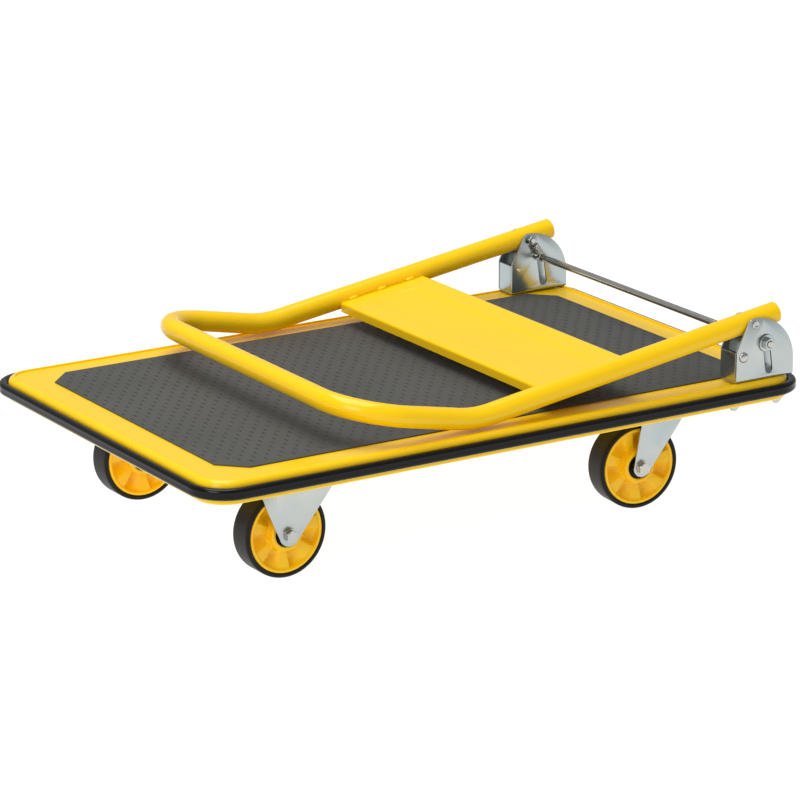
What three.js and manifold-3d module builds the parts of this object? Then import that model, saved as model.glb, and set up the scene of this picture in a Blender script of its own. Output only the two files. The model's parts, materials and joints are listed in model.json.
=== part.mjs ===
// Folding platform cart: a pressed steel deck with a rubber edge strip, two rigid casters at the front (-X),
// two swivel casters at the handle end (+X), and a bent tube handle that lies folded over the deck.
// Millimetres, +Z up. The origin is on the floor under the middle of the deck.
import * as THREE from 'three';
import { mergeVertices } from 'three/addons/utils/BufferGeometryUtils.js';
import Module from 'manifold-3d';

const wasm = await Module();
wasm.setup();

// ---- Driving dimensions ----
const GAP = 0.3; // air between neighbouring pieces
const SIDES = 24; // facets of a round piece

const DECK_TOP = 146.5; // height of the deck's border above the floor
const DECK_LENGTH = 766; // over the skirt
const DECK_WIDTH = 492; // over the skirt
const DECK_CORNER = 34; // plan radius of the skirt's corners
const DECK_ROLL = 8; // radius where the top turns down into the skirt
const SKIRT_DEPTH = 26; // from the deck's top to its bottom flange
const DECK_SHEET = 1.5;
const RETURN_FLANGE = 34; // width of the flange turned in under the deck

const MAT_LENGTH = 688;
const MAT_WIDTH = 417;
const MAT_CHAMFER = 27.5; // corner cut of the mat
const MAT_THICKNESS = 1.3;
const MAT_RECESS = 2; // depth of the pressed recess the mat lies in

const BUMPER_PROUD = 11; // how far the rubber strip stands out of the skirt
const BUMPER_HEIGHT = 13;
const BUMPER_ROUND = 5;
const BUMPER_DROP = 5.5; // from the deck's top to the strip's top

const CHANNEL_WIDTH = 112; // cross channels over the casters
const CHANNEL_SHEET = 2;

const WHEEL_RADIUS = 50;
const WHEEL_WIDTH = 31;
const TYRE_THICKNESS = 5;
const HUB_BOSS_RADIUS = 18;
const HUB_BOSS_WIDTH = 35;
const HUB_WEB = 6;
const HUB_RIM = 3.7;
const HUB_SPOKES = 6;
const AXLE_RADIUS = 4;
const BUSH_WALL = 2.3;
const BUSH_FIT = 0.4; // running clearance of the hub on its bush

const FORK_SHEET = 2.5;
const FORK_SIDE_GAP = 4.1; // from the tyre's side to the fork's leg
const FORK_LOBE = 12.5; // radius of the leg's end around the axle
const PLATE_LENGTH = 106;
const PLATE_WIDTH = 80;
const PLATE_TOP = 128; // height of the caster plates' top face
const FRONT_AXLE_X = -252;
const FRONT_TRACK = 318;
const FRONT_PLATE_OFFSET = 10; // the rigid fork's plate sits this far behind its axle
const SWIVEL_X = 239;
const REAR_TRACK = 342;
const SWIVEL_TRAIL = 31; // from the swivel axis to the axle
const SWIVEL_REST_YAW = -5; // degrees the casters stand turned at rest
const RACE_RADIUS = 27;
const RACE_HEIGHT = 9.4;
const KINGPIN_RADIUS = 6;

const TUBE_RADIUS = 12.5;
const TUBE_WALL = 1.5;
const PIVOT_X = 322.9;
const PIVOT_Z = 212.5;
const HANDLE_INSET = 20; // from the skirt in to each tube's centreline
const STUB_LENGTH = 38.5; // tube beyond the pivot
const KINK_X = -45; // where the folded handle comes down on the deck
const KINK_RADIUS = 120;
const KINK_LIFT = 1; // from the tube to the deck at the kink, before the bend rounds it off
const GRIP_X = -197;
const GRIP_RISE_ANGLE = 11.3; // upward slope of the grip end, in degrees
const GRIP_BEND_RADIUS = 70;

const PANEL_FROM_PIVOT = 154; // along the tube to the panel's nearer edge
const PANEL_LENGTH = 118;
const PANEL_SHEET = 1.5;
const PANEL_EDGE = 12; // depth of the folded edges
const PANEL_RECESS_MARGIN = 26;
const PANEL_RECESS_DEPTH = 1.5;

const BRACKET_SHEET = 2;
const BRACKET_SIDE_GAP = 0.5; // between the tube and each leg
const BRACKET_FRONT_X = 297.5;
const BRACKET_LENGTH = 80;
const BRACKET_SHOULDER_Z = 183; // where the front edge starts to slant
const BRACKET_NOSE_RADIUS = 11.5;
const BRACKET_ARC_RADIUS = 55;
const PIVOT_PIN_RADIUS = 3.5;
const PIVOT_HEAD_RADIUS = 5;
const STOP_PIN_X = 306.9;
const STOP_PIN_Z = 176.5;
const STOP_PIN_RADIUS = 3;
const STOP_HEAD_RADIUS = 6.2;
const BRACKET_BOLT_XS = [306.5, 366];
const BRACKET_BOLT_RADIUS = 3;

const LOCK_BAR_RADIUS = 4;
const LOCK_BAR_X = 338.5;
const LOCK_BAR_Z = 189;
const LOCK_TRAVEL = 31.5;
const LOCK_TILT = 8.5; // degrees the slot leans away from the handle going down
const SLOT_PLAY = 1; // radial play of the bar in its slot
const LOCK_WASHER_RADIUS = 10;
const LOCK_WASHER_THICKNESS = 1.6;
const SPRING_RADIUS = 4.3;
const SPRING_LENGTH = 15;
const SPRING_HOOK_RADIUS = 1.2;

// ---- Sizes that follow from them ----
const rad = THREE.MathUtils.degToRad;
const skirtBottom = DECK_TOP - SKIRT_DEPTH;
const handleHalfWidth = DECK_WIDTH / 2 - HANDLE_INSET;
const hubRadius = WHEEL_RADIUS - TYRE_THICKNESS - GAP;
const bushRadius = AXLE_RADIUS + GAP + BUSH_WALL;
const forkInner = WHEEL_WIDTH / 2 + FORK_SIDE_GAP;
const forkOuter = forkInner + FORK_SHEET;
const plateBottom = PLATE_TOP - FORK_SHEET;
const legInner = TUBE_RADIUS + BRACKET_SIDE_GAP;
const legOuter = legInner + BRACKET_SHEET;
const kinkZ = DECK_TOP + KINK_LIFT + TUBE_RADIUS + KINK_RADIUS
  - KINK_RADIUS / Math.cos(rad(GRIP_RISE_ANGLE));
const foldSlope = Math.atan2(PIVOT_Z - kinkZ, PIVOT_X - KINK_X);

// ---- Materials ----
const paint = (color, roughness, metalness = 0) => new THREE.MeshStandardMaterial({ color, roughness, metalness });
const yellowPaint = paint(0xffc800, 0.25);
const matRubber = paint(0x4a4a47, 0.85);
const bumperRubber = paint(0x161616, 0.35);
const tyreRubber = paint(0x1e1a18, 0.6);
const hubPlastic = paint(0xf5b000, 0.4);
const zinc = paint(0xb4bcc0, 0.3, 0.9);
const steel = paint(0x8e8e86, 0.25, 1);
const plugPlastic = paint(0x202020, 0.5);

// ---- Shapes ----
function solidOf(geometry) {
  const bare = geometry.index ? geometry.toNonIndexed() : geometry.clone();
  for (const name of Object.keys(bare.attributes)) if (name !== 'position') bare.deleteAttribute(name);
  const merged = mergeVertices(bare, 1e-4);
  const vertProperties = new Float32Array(merged.attributes.position.array);
  const triVerts = new Uint32Array(merged.index.array);
  return new wasm.Manifold(new wasm.Mesh({ numProp: 3, vertProperties, triVerts }));
}

function geometryOf(solid) {
  const mesh = solid.getMesh();
  const geometry = new THREE.BufferGeometry();
  geometry.setAttribute('position', new THREE.BufferAttribute(new Float32Array(mesh.vertProperties), 3));
  geometry.setIndex(new THREE.BufferAttribute(new Uint32Array(mesh.triVerts), 1));
  return geometry;
}

const join = (...solids) => solids.reduce((a, b) => a.add(b));
const cut = (solid, ...tools) => tools.reduce((a, b) => a.subtract(b), solid);

// A plan outline with rounded corners, centred on the origin.
function roundedRect(length, width, radius, segments = 6) {
  const shape = new THREE.Shape();
  const x = length / 2 - radius;
  const y = width / 2 - radius;
  for (const [i, [cx, cy]] of [[x, y], [-x, y], [-x, -y], [x, -y]].entries()) {
    for (let k = 0; k <= segments; k++) {
      const a = (i + k / segments) * Math.PI / 2;
      const px = cx + radius * Math.cos(a);
      const py = cy + radius * Math.sin(a);
      if (i === 0 && k === 0) shape.moveTo(px, py);
      else shape.lineTo(px, py);
    }
  }
  return shape;
}

const polygon = (points) => new THREE.Shape(points.map(([x, y]) => new THREE.Vector2(x, y)));

// Points of an arc, from angle a0 to a1 in degrees.
function arc(cx, cy, radius, a0, a1, segments) {
  return Array.from({ length: segments + 1 }, (_, i) => {
    const a = rad(a0 + (a1 - a0) * i / segments);
    return [cx + radius * Math.cos(a), cy + radius * Math.sin(a)];
  });
}

// A plan outline carried from z0 up to z1.
function prismZ(shape, z0, z1) {
  const geometry = new THREE.ExtrudeGeometry(shape, { depth: z1 - z0, bevelEnabled: false });
  return solidOf(geometry.translate(0, 0, z0));
}

// A side outline, x across and z up, carried from y0 to y1.
function prismY(shape, y0, y1) {
  const geometry = new THREE.ExtrudeGeometry(shape, { depth: y1 - y0, bevelEnabled: false });
  return solidOf(geometry.rotateX(Math.PI / 2).translate(0, y1, 0));
}

function box(x0, x1, y0, y1, z0, z1) {
  const geometry = new THREE.BoxGeometry(x1 - x0, y1 - y0, z1 - z0);
  return solidOf(geometry.translate((x0 + x1) / 2, (y0 + y1) / 2, (z0 + z1) / 2));
}

// A round bar along Y at (x, z), with a flat facet facing down.
function barY(x, z, radius, y0, y1, sides = SIDES) {
  const geometry = new THREE.CylinderGeometry(radius, radius, y1 - y0, sides);
  return solidOf(geometry.rotateY(Math.PI / sides).translate(x, (y0 + y1) / 2, z));
}

function barZ(x, y, radius, z0, z1, sides = SIDES) {
  const geometry = new THREE.CylinderGeometry(radius, radius, z1 - z0, sides);
  return solidOf(geometry.rotateX(Math.PI / 2).translate(x, y, (z0 + z1) / 2));
}

// A turned piece about the Y axis from (radius, y) points, one facet facing down.
function turned(points, sides = SIDES) {
  const geometry = new THREE.LatheGeometry(points.map(([r, y]) => new THREE.Vector2(r, y)), sides);
  return geometry.rotateY(Math.PI / sides);
}

const closed = (points) => [...points, points[0]];

const root = new THREE.Group();

function place(name, solid, material, parent = root) {
  const mesh = new THREE.Mesh(solid.isBufferGeometry ? solid : geometryOf(solid), material);
  mesh.name = name;
  parent.add(mesh);
  return mesh;
}

const SIDES_OF_CART = [['left', -1], ['right', 1]];

// ---- Deck, mat and edge strip ----
function matOutline(grow) {
  const x = MAT_LENGTH / 2 + grow;
  const y = MAT_WIDTH / 2 + grow;
  const c = MAT_CHAMFER + grow * (2 - Math.SQRT2);
  return polygon([[x, y - c], [x - c, y], [c - x, y], [-x, y - c], [-x, c - y], [c - x, -y], [x - c, -y], [x, c - y]]);
}

function deckSolid() {
  const shellOf = (inset, z0, roll) => {
    const flat = roundedRect(DECK_LENGTH - 2 * (inset + roll), DECK_WIDTH - 2 * (inset + roll),
      DECK_CORNER - inset - roll);
    const geometry = new THREE.ExtrudeGeometry(flat, {
      depth: DECK_TOP - inset - roll - z0, bevelEnabled: true, bevelSize: roll, bevelThickness: roll, bevelSegments: 3,
    });
    const whole = solidOf(geometry.translate(0, 0, z0));
    return cut(whole, box(-DECK_LENGTH, DECK_LENGTH, -DECK_WIDTH, DECK_WIDTH, z0 - 2 * DECK_ROLL, z0));
  };
  const recessFloor = DECK_TOP - MAT_RECESS;
  const hollow = cut(
    shellOf(DECK_SHEET, skirtBottom + DECK_SHEET, DECK_ROLL - DECK_SHEET),
    prismZ(matOutline(GAP + DECK_SHEET), recessFloor - DECK_SHEET, DECK_TOP),
  );
  const mouth = roundedRect(DECK_LENGTH - 2 * RETURN_FLANGE, DECK_WIDTH - 2 * RETURN_FLANGE, DECK_CORNER / 2, 3);
  let deck = cut(shellOf(0, skirtBottom, DECK_ROLL), hollow,
    prismZ(mouth, skirtBottom - 1, skirtBottom + 2 * DECK_SHEET),
    prismZ(matOutline(GAP), recessFloor, DECK_TOP + 1));
  for (const [, side] of SIDES_OF_CART) {
    for (const x of BRACKET_BOLT_XS) {
      deck = cut(deck, barZ(x, side * handleHalfWidth, BRACKET_BOLT_RADIUS + GAP, skirtBottom - 1, DECK_TOP + 1, 12));
    }
  }
  return deck;
}

function bumperSolid() {
  const z0 = DECK_TOP - BUMPER_DROP - BUMPER_HEIGHT;
  const grow = 2 * (BUMPER_PROUD - BUMPER_ROUND);
  const core = roundedRect(DECK_LENGTH + grow, DECK_WIDTH + grow, DECK_CORNER + grow / 2, 8);
  const geometry = new THREE.ExtrudeGeometry(core, {
    depth: BUMPER_HEIGHT - 2 * BUMPER_ROUND, bevelEnabled: true,
    bevelSize: BUMPER_ROUND, bevelThickness: BUMPER_ROUND, bevelSegments: 3,
  });
  const strip = solidOf(geometry.translate(0, 0, z0 + BUMPER_ROUND));
  const seat = roundedRect(DECK_LENGTH + 2 * GAP, DECK_WIDTH + 2 * GAP, DECK_CORNER + GAP, 6);
  return cut(strip, prismZ(seat, z0 - 1, z0 + BUMPER_HEIGHT + 1));
}

place('deck', deckSolid(), yellowPaint);
place('anti_slip_mat', prismZ(matOutline(0), DECK_TOP - MAT_RECESS + GAP, DECK_TOP - MAT_RECESS + GAP + MAT_THICKNESS),
  matRubber);
place('edge_bumper', bumperSolid(), bumperRubber);

// ---- Channels under the deck that carry the casters ----
function channelSolid(x) {
  const top = DECK_TOP - MAT_RECESS - DECK_SHEET - GAP;
  const bottom = PLATE_TOP + GAP;
  const y = DECK_WIDTH / 2 - DECK_ROLL - 1;
  const half = CHANNEL_WIDTH / 2;
  return cut(box(x - half, x + half, -y, y, bottom, top),
    box(x - half + CHANNEL_SHEET, x + half - CHANNEL_SHEET, -y - 1, y + 1, bottom + CHANNEL_SHEET, top + 1));
}

place('front_cross_channel', channelSolid(FRONT_AXLE_X + FRONT_PLATE_OFFSET), yellowPaint);
place('rear_cross_channel', channelSolid(SWIVEL_X), yellowPaint);

// ---- Wheels: built about an axle along Y at the origin ----
function tyreGeometry() {
  const scale = 1 / Math.cos(Math.PI / 32);
  const inner = (WHEEL_RADIUS - TYRE_THICKNESS) * scale;
  const outer = WHEEL_RADIUS * scale;
  const w = WHEEL_WIDTH / 2;
  return turned(closed([[inner, -w], [outer - 1.6, -w], [outer, 2 - w], [outer, w - 2], [outer - 1.6, w], [inner, w]]), 32);
}

function hubSolid() {
  const scale = 1 / Math.cos(Math.PI / 32);
  const bore = bushRadius + BUSH_FIT;
  const rim = hubRadius * scale;
  const rimInner = rim - HUB_RIM;
  const w = WHEEL_WIDTH / 2 - 1;
  const b = HUB_BOSS_WIDTH / 2;
  const t = HUB_WEB / 2;
  const hub = turned(closed([
    [bore, -b], [HUB_BOSS_RADIUS, -b], [HUB_BOSS_RADIUS, -t], [rimInner, -t], [rimInner, -w], [rim, -w],
    [rim, w], [rimInner, w], [rimInner, t], [HUB_BOSS_RADIUS, t], [HUB_BOSS_RADIUS, b], [bore, b],
  ]), 32);
  const spokes = [];
  for (let i = 0; i < HUB_SPOKES; i++) {
    const wedge = polygon([[HUB_BOSS_RADIUS - 2, -4], [rimInner + 1, -9], [rimInner + 1, 9], [HUB_BOSS_RADIUS - 2, 4]]);
    const geometry = new THREE.ExtrudeGeometry(wedge, { depth: 2 * w - 4, bevelEnabled: false });
    geometry.rotateX(Math.PI / 2).translate(0, w - 2, 0).rotateY(i * 2 * Math.PI / HUB_SPOKES);
    spokes.push(solidOf(geometry));
  }
  return join(solidOf(hub), ...spokes);
}

const bushSolid = () => cut(
  barY(0, 0, bushRadius, GAP - forkInner, forkInner - GAP), barY(0, 0, AXLE_RADIUS + GAP, -forkInner, forkInner));

const axleReach = forkOuter + GAP;

function hexY(acrossFlats, y0, y1) {
  const geometry = new THREE.CylinderGeometry(acrossFlats / Math.sqrt(3), acrossFlats / Math.sqrt(3), y1 - y0, 6);
  return solidOf(geometry.translate(0, (y0 + y1) / 2, 0));
}

// The bolt's head is on the outer side of the cart, its nut on the inner side.
const axleBoltSolid = (side) => join(
  barY(0, 0, AXLE_RADIUS, -axleReach - 9, axleReach + 1),
  hexY(13, axleReach, axleReach + 5.5),
).rotate([0, 0, side > 0 ? 0 : 180]);

const axleNutSolid = (side) => cut(
  hexY(13, -axleReach - 6.5, -axleReach), barY(0, 0, AXLE_RADIUS + GAP, -axleReach - 7, 0, 12),
).rotate([0, 0, side > 0 ? 0 : 180]);

function placeWheel(label, side, parent) {
  place(`${label}_tyre`, tyreGeometry(), tyreRubber, parent);
  place(`${label}_hub`, hubSolid(), hubPlastic, parent);
  place(`${label}_axle_bush`, bushSolid(), steel, parent);
  place(`${label}_axle_bolt`, axleBoltSolid(side), zinc, parent);
  place(`${label}_axle_nut`, axleNutSolid(side), zinc, parent);
}

// ---- Rigid casters at the front ----
function rigidForkSolid() {
  const top = PLATE_TOP - WHEEL_RADIUS;
  const rear = FRONT_PLATE_OFFSET + PLATE_LENGTH / 2;
  const front = FRONT_PLATE_OFFSET - PLATE_LENGTH / 2;
  const leg = polygon([
    ...arc(0, 0, FORK_LOBE, 200, 335, 6), [rear, top - 21], [rear, top], [front, top], [front + 9, top - 28],
  ]);
  const drill = barY(0, 0, AXLE_RADIUS + GAP, -forkOuter - 1, forkOuter + 1);
  const plate = box(front, rear, -PLATE_WIDTH / 2, PLATE_WIDTH / 2, plateBottom - WHEEL_RADIUS, top);
  return cut(join(prismY(leg, forkInner, forkOuter), prismY(leg, -forkOuter, -forkInner), plate), drill);
}

for (const [name, side] of SIDES_OF_CART) {
  const caster = new THREE.Group();
  caster.position.set(FRONT_AXLE_X, side * FRONT_TRACK / 2, WHEEL_RADIUS);
  root.add(caster);
  place(`front_${name}_fork`, rigidForkSolid(), zinc, caster);
  placeWheel(`front_${name}`, side, caster);
}

// ---- Swivel casters at the handle end: built about the swivel axis, the wheel trailing towards -X ----
const raceBottom = plateBottom - GAP - RACE_HEIGHT;
const crownTop = raceBottom - GAP;
const crownBottom = crownTop - FORK_SHEET;

function swivelForkSolid() {
  const axleZ = WHEEL_RADIUS;
  const front = -SWIVEL_TRAIL - 4;
  const rear = FORK_LOBE * 1.8;
  const leg = polygon([
    ...arc(-SWIVEL_TRAIL, axleZ, FORK_LOBE - 1.5, 185, 325, 6), [rear, crownBottom - 8], [rear, crownTop], [front, crownTop],
  ]);
  const crown = join(box(front, rear, -forkOuter, forkOuter, crownBottom, crownTop),
    barZ(0, 0, RACE_RADIUS, crownBottom, crownTop));
  return cut(join(prismY(leg, forkInner, forkOuter), prismY(leg, -forkOuter, -forkInner), crown),
    barY(-SWIVEL_TRAIL, axleZ, AXLE_RADIUS + GAP, -forkOuter - 1, forkOuter + 1),
    barZ(0, 0, KINGPIN_RADIUS + 2 * GAP, crownBottom - 1, crownTop + 1));
}

const kingpinSolid = () => join(
  barZ(0, 0, KINGPIN_RADIUS, crownBottom - GAP - 5, PLATE_TOP - GAP),
  barZ(0, 0, KINGPIN_RADIUS + 4, crownBottom - GAP - 5, crownBottom - GAP),
);

const raceSolid = () => solidOf(turned(closed([
  [KINGPIN_RADIUS + 2, -RACE_HEIGHT / 2], [RACE_RADIUS - 3, -RACE_HEIGHT / 2], [RACE_RADIUS, 3 - RACE_HEIGHT / 2],
  [RACE_RADIUS, RACE_HEIGHT / 2], [KINGPIN_RADIUS + 2, RACE_HEIGHT / 2],
])).rotateX(Math.PI / 2).translate(0, 0, raceBottom + RACE_HEIGHT / 2));

const swivelPlateSolid = () => cut(
  box(-PLATE_LENGTH / 2, PLATE_LENGTH / 2, -PLATE_WIDTH / 2, PLATE_WIDTH / 2, plateBottom, PLATE_TOP),
  barZ(0, 0, KINGPIN_RADIUS + GAP, plateBottom - 1, PLATE_TOP + 1));

for (const [name, side] of SIDES_OF_CART) {
  const caster = new THREE.Group();
  caster.position.set(SWIVEL_X, side * REAR_TRACK / 2, 0);
  root.add(caster);
  place(`rear_${name}_swivel_plate`, swivelPlateSolid(), zinc, caster);
  place(`rear_${name}_ball_race`, raceSolid(), zinc, caster);
  place(`rear_${name}_kingpin`, kingpinSolid(), steel, caster);
  const swivel = new THREE.Group();
  swivel.rotation.z = rad(SWIVEL_REST_YAW);
  caster.add(swivel);
  place(`rear_${name}_fork`, swivelForkSolid(), zinc, swivel);
  const axle = new THREE.Group();
  axle.position.set(-SWIVEL_TRAIL, 0, WHEEL_RADIUS);
  swivel.add(axle);
  placeWheel(`rear_${name}`, side, axle);
}

// ---- Hinge brackets, folded from sheet: a base, two legs and a front web ----
const lockDown = [Math.sin(rad(LOCK_TILT)), -Math.cos(rad(LOCK_TILT))];

function slotOutline(radius) {
  const end = [LOCK_BAR_X + LOCK_TRAVEL * lockDown[0], LOCK_BAR_Z + LOCK_TRAVEL * lockDown[1]];
  return polygon([
    ...arc(LOCK_BAR_X, LOCK_BAR_Z, radius, LOCK_TILT, 180 + LOCK_TILT, 8),
    ...arc(end[0], end[1], radius, 180 + LOCK_TILT, 360 + LOCK_TILT, 8),
  ]);
}

function bracketLegOutline() {
  const base = DECK_TOP + GAP;
  const noseX = PIVOT_X - 0.4;
  const noseZ = PIVOT_Z - 4;
  const crown = noseZ + BRACKET_NOSE_RADIUS;
  const dx = noseX - BRACKET_FRONT_X;
  const dz = noseZ - BRACKET_SHOULDER_Z;
  const slant = THREE.MathUtils.radToDeg(Math.atan2(dz, dx) + Math.asin(BRACKET_NOSE_RADIUS / Math.hypot(dx, dz)));
  const arcRadius = BRACKET_FRONT_X + BRACKET_LENGTH - noseX;
  return polygon([
    [BRACKET_FRONT_X, base], [BRACKET_FRONT_X + BRACKET_LENGTH, base],
    ...arc(noseX, crown - BRACKET_ARC_RADIUS, arcRadius, 0, 90, 10)
      .map(([x, z]) => [x, crown - BRACKET_ARC_RADIUS + (z - crown + BRACKET_ARC_RADIUS) * BRACKET_ARC_RADIUS / arcRadius]),
    ...arc(noseX, noseZ, BRACKET_NOSE_RADIUS, 90, 90 + slant, 4).slice(1),
    [BRACKET_FRONT_X, BRACKET_SHOULDER_Z],
  ]);
}

function bracketSolid(side) {
  const y = side * handleHalfWidth;
  const leg = bracketLegOutline();
  const base = DECK_TOP + GAP;
  const end = BRACKET_FRONT_X + BRACKET_LENGTH;
  let bracket = join(
    prismY(leg, y + legInner, y + legOuter), prismY(leg, y - legOuter, y - legInner),
    box(BRACKET_FRONT_X, end, y - legOuter, y + legOuter, base, base + BRACKET_SHEET),
    box(BRACKET_FRONT_X, BRACKET_FRONT_X + BRACKET_SHEET, y - legOuter, y + legOuter, base, BRACKET_SHOULDER_Z - 1),
  );
  bracket = cut(bracket,
    prismY(slotOutline(LOCK_BAR_RADIUS + SLOT_PLAY), y - legOuter - 1, y + legOuter + 1),
    barY(PIVOT_X, PIVOT_Z, PIVOT_PIN_RADIUS + GAP, y - legOuter - 1, y + legOuter + 1, 16),
    barY(STOP_PIN_X, STOP_PIN_Z, STOP_PIN_RADIUS + GAP, y - legOuter - 1, y + legOuter + 1, 16));
  for (const x of BRACKET_BOLT_XS) {
    bracket = cut(bracket, barZ(x, y, BRACKET_BOLT_RADIUS + GAP, base - 1, base + BRACKET_SHEET + 1, 12));
  }
  return bracket;
}

const SPRING_OFFSET = SPRING_RADIUS + 1.2; // from the inner leg's face to the spring's axis
const pinInnerReach = legOuter + SPRING_OFFSET + SPRING_HOOK_RADIUS + 1;

// A pin along Y with a low domed head outside the outer leg.
function headedPin(x, z, radius, headRadius, headHeight, side, innerReach) {
  const y = side * handleHalfWidth;
  const head = turned([[0, 0], [headRadius, 0], [headRadius, headHeight / 3], [headRadius * 0.6, headHeight], [0, headHeight]], 16);
  if (side < 0) head.rotateX(Math.PI);
  head.translate(x, y + side * (legOuter + GAP), z);
  const shank = side > 0
    ? barY(x, z, radius, y - innerReach, y + legOuter + GAP + 0.5, 16)
    : barY(x, z, radius, y - legOuter - GAP - 0.5, y + innerReach, 16);
  return join(shank, solidOf(head));
}

// A flanged cap nut under the deck's bottom flange, hollow for its bolt.
function domeNutSolid(x, y) {
  const top = skirtBottom - GAP;
  const nut = turned([[0, 0], [8, 0], [8, 2], [5.6, 2.6], [5.6, 7], [3.6, 9.6], [0, 10.4]], 16);
  nut.rotateX(-Math.PI / 2).translate(x, y, top);
  return cut(solidOf(nut), barZ(x, y, BRACKET_BOLT_RADIUS + GAP, top - 7, top + 1, 12));
}

function bracketBoltSolid(x, y) {
  const seat = DECK_TOP + 2 * GAP + BRACKET_SHEET;
  return join(barZ(x, y, BRACKET_BOLT_RADIUS, skirtBottom - 6, seat + 1, 12), barZ(x, y, 5.5, seat, seat + 3.5, 16));
}

for (const [name, side] of SIDES_OF_CART) {
  const y = side * handleHalfWidth;
  place(`${name}_hinge_bracket`, bracketSolid(side), zinc);
  place(`${name}_pivot_pin`,
    headedPin(PIVOT_X, PIVOT_Z, PIVOT_PIN_RADIUS, PIVOT_HEAD_RADIUS, 1.6, side, pinInnerReach), steel);
  place(`${name}_stop_pin`,
    headedPin(STOP_PIN_X, STOP_PIN_Z, STOP_PIN_RADIUS, STOP_HEAD_RADIUS, 3, side, legOuter + 1), steel);
  for (const [i, x] of BRACKET_BOLT_XS.entries()) {
    place(`${name}_bracket_bolt_${i + 1}`, bracketBoltSolid(x, y), zinc);
    place(`${name}_dome_nut_${i + 1}`, domeNutSolid(x, y), zinc);
  }
}

// ---- Handle: one bent tube, a sheet panel between its sides, and a plug in each end ----
// A path of straight runs joined by arcs, sampled only where it bends.
class BentPath extends THREE.Curve {
  constructor(corners, radii, segments) {
    super();
    this.stations = [];
    const add = (point, tangent) => this.stations.push({ point, tangent: tangent.clone().normalize() });
    const last = corners.length - 1;
    add(corners[0], corners[1].clone().sub(corners[0]));
    for (let i = 1; i < last; i++) {
      const before = corners[i].clone().sub(corners[i - 1]).normalize();
      const after = corners[i + 1].clone().sub(corners[i]).normalize();
      const turn = before.angleTo(after);
      const radius = radii[i - 1];
      const inward = after.clone().sub(before).normalize();
      const centre = corners[i].clone().addScaledVector(inward, radius / Math.cos(turn / 2));
      for (let k = 0; k <= segments[i - 1]; k++) {
        const a = (k / segments[i - 1] - 0.5) * turn;
        const along = after.clone().add(before).normalize();
        const point = centre.clone().addScaledVector(inward, -radius * Math.cos(a)).addScaledVector(along, radius * Math.sin(a));
        add(point, along.clone().multiplyScalar(Math.cos(a)).addScaledVector(inward, Math.sin(a)));
      }
    }
    add(corners[last], corners[last].clone().sub(corners[last - 1]));
  }

  station(u) {
    return this.stations[Math.round(u * (this.stations.length - 1))];
  }

  getPointAt(u) {
    return this.station(u).point.clone();
  }

  getTangentAt(u) {
    return this.station(u).tangent.clone();
  }
}

function ringShape(radius, sides) {
  return polygon(Array.from({ length: sides }, (_, i) => {
    const a = (i + 0.5) * 2 * Math.PI / sides;
    return [radius * Math.cos(a), radius * Math.sin(a)];
  }));
}

function handlePath(extra) {
  const y = handleHalfWidth;
  const reach = (STUB_LENGTH + extra) * Math.cos(foldSlope);
  const rise = (STUB_LENGTH + extra) * Math.sin(foldSlope);
  const gripZ = kinkZ + (KINK_X - GRIP_X) * Math.tan(rad(GRIP_RISE_ANGLE));
  const run = [[PIVOT_X + reach, PIVOT_Z + rise], [KINK_X, kinkZ], [GRIP_X, gripZ]];
  const corners = [...run.map(([x, z]) => new THREE.Vector3(x, -y, z)), ...run.reverse().map(([x, z]) => new THREE.Vector3(x, y, z))];
  return new BentPath(corners, [KINK_RADIUS, GRIP_BEND_RADIUS, GRIP_BEND_RADIUS, KINK_RADIUS], [3, 7, 7, 3]);
}

function handleTubeSolid() {
  const sweep = (radius, extra) => {
    const path = handlePath(extra);
    const options = { steps: path.stations.length - 1, bevelEnabled: false, extrudePath: path };
    return solidOf(new THREE.ExtrudeGeometry(ringShape(radius, 16), options));
  };
  let tube = cut(sweep(TUBE_RADIUS, 0), sweep(TUBE_RADIUS - TUBE_WALL, 1));
  for (const [, side] of SIDES_OF_CART) {
    const y = side * handleHalfWidth;
    tube = cut(tube, barY(PIVOT_X, PIVOT_Z, PIVOT_PIN_RADIUS + 2 * GAP, y - legInner, y + legInner, 16));
  }
  return tube;
}

// The folded handle's rear run as a group: x runs from the pivot towards the grip, z is square to the tubes.
const handleRun = new THREE.Group();
handleRun.position.set(PIVOT_X, 0, PIVOT_Z);
handleRun.rotation.y = -foldSlope;
root.add(handleRun);

function panelSolid() {
  const near = -PANEL_FROM_PIVOT;
  const far = near - PANEL_LENGTH;
  const y = handleHalfWidth - TUBE_RADIUS - GAP;
  const m = PANEL_RECESS_MARGIN;
  const t = PANEL_SHEET;
  const d = PANEL_RECESS_DEPTH;
  const body = join(
    box(far, near, -y, y, -t, 0),
    box(far, far + t, -y, y, -PANEL_EDGE, 0), box(near - t, near, -y, y, -PANEL_EDGE, 0),
    box(far + m - t, near - m + t, -y + m - t, y - m + t, -t - d, 0),
  );
  return cut(body, box(far + m, near - m, -y + m, y - m, -d, 1));
}

// A ribbed push-in plug with a low cap over the tube's end.
const plugGeometry = () => turned(
  [[0, -14], [TUBE_RADIUS - TUBE_WALL - 2 * GAP, -14], [TUBE_RADIUS - TUBE_WALL - 2 * GAP, GAP],
    [TUBE_RADIUS - 2, GAP], [TUBE_RADIUS - 3.5, 1.5], [0, 1.5]], 16).rotateZ(-Math.PI / 2);

place('handle_tube', handleTubeSolid(), yellowPaint);
place('handle_panel', panelSolid(), yellowPaint, handleRun);
for (const [name, side] of SIDES_OF_CART) {
  const plug = place(`${name}_tube_plug`, plugGeometry(), plugPlastic, handleRun);
  plug.position.set(STUB_LENGTH, side * handleHalfWidth, 0);
}

// ---- Lock bar: a rod through both brackets' slots, held up by a spring at each side ----
const barReach = handleHalfWidth + legOuter;

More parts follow.
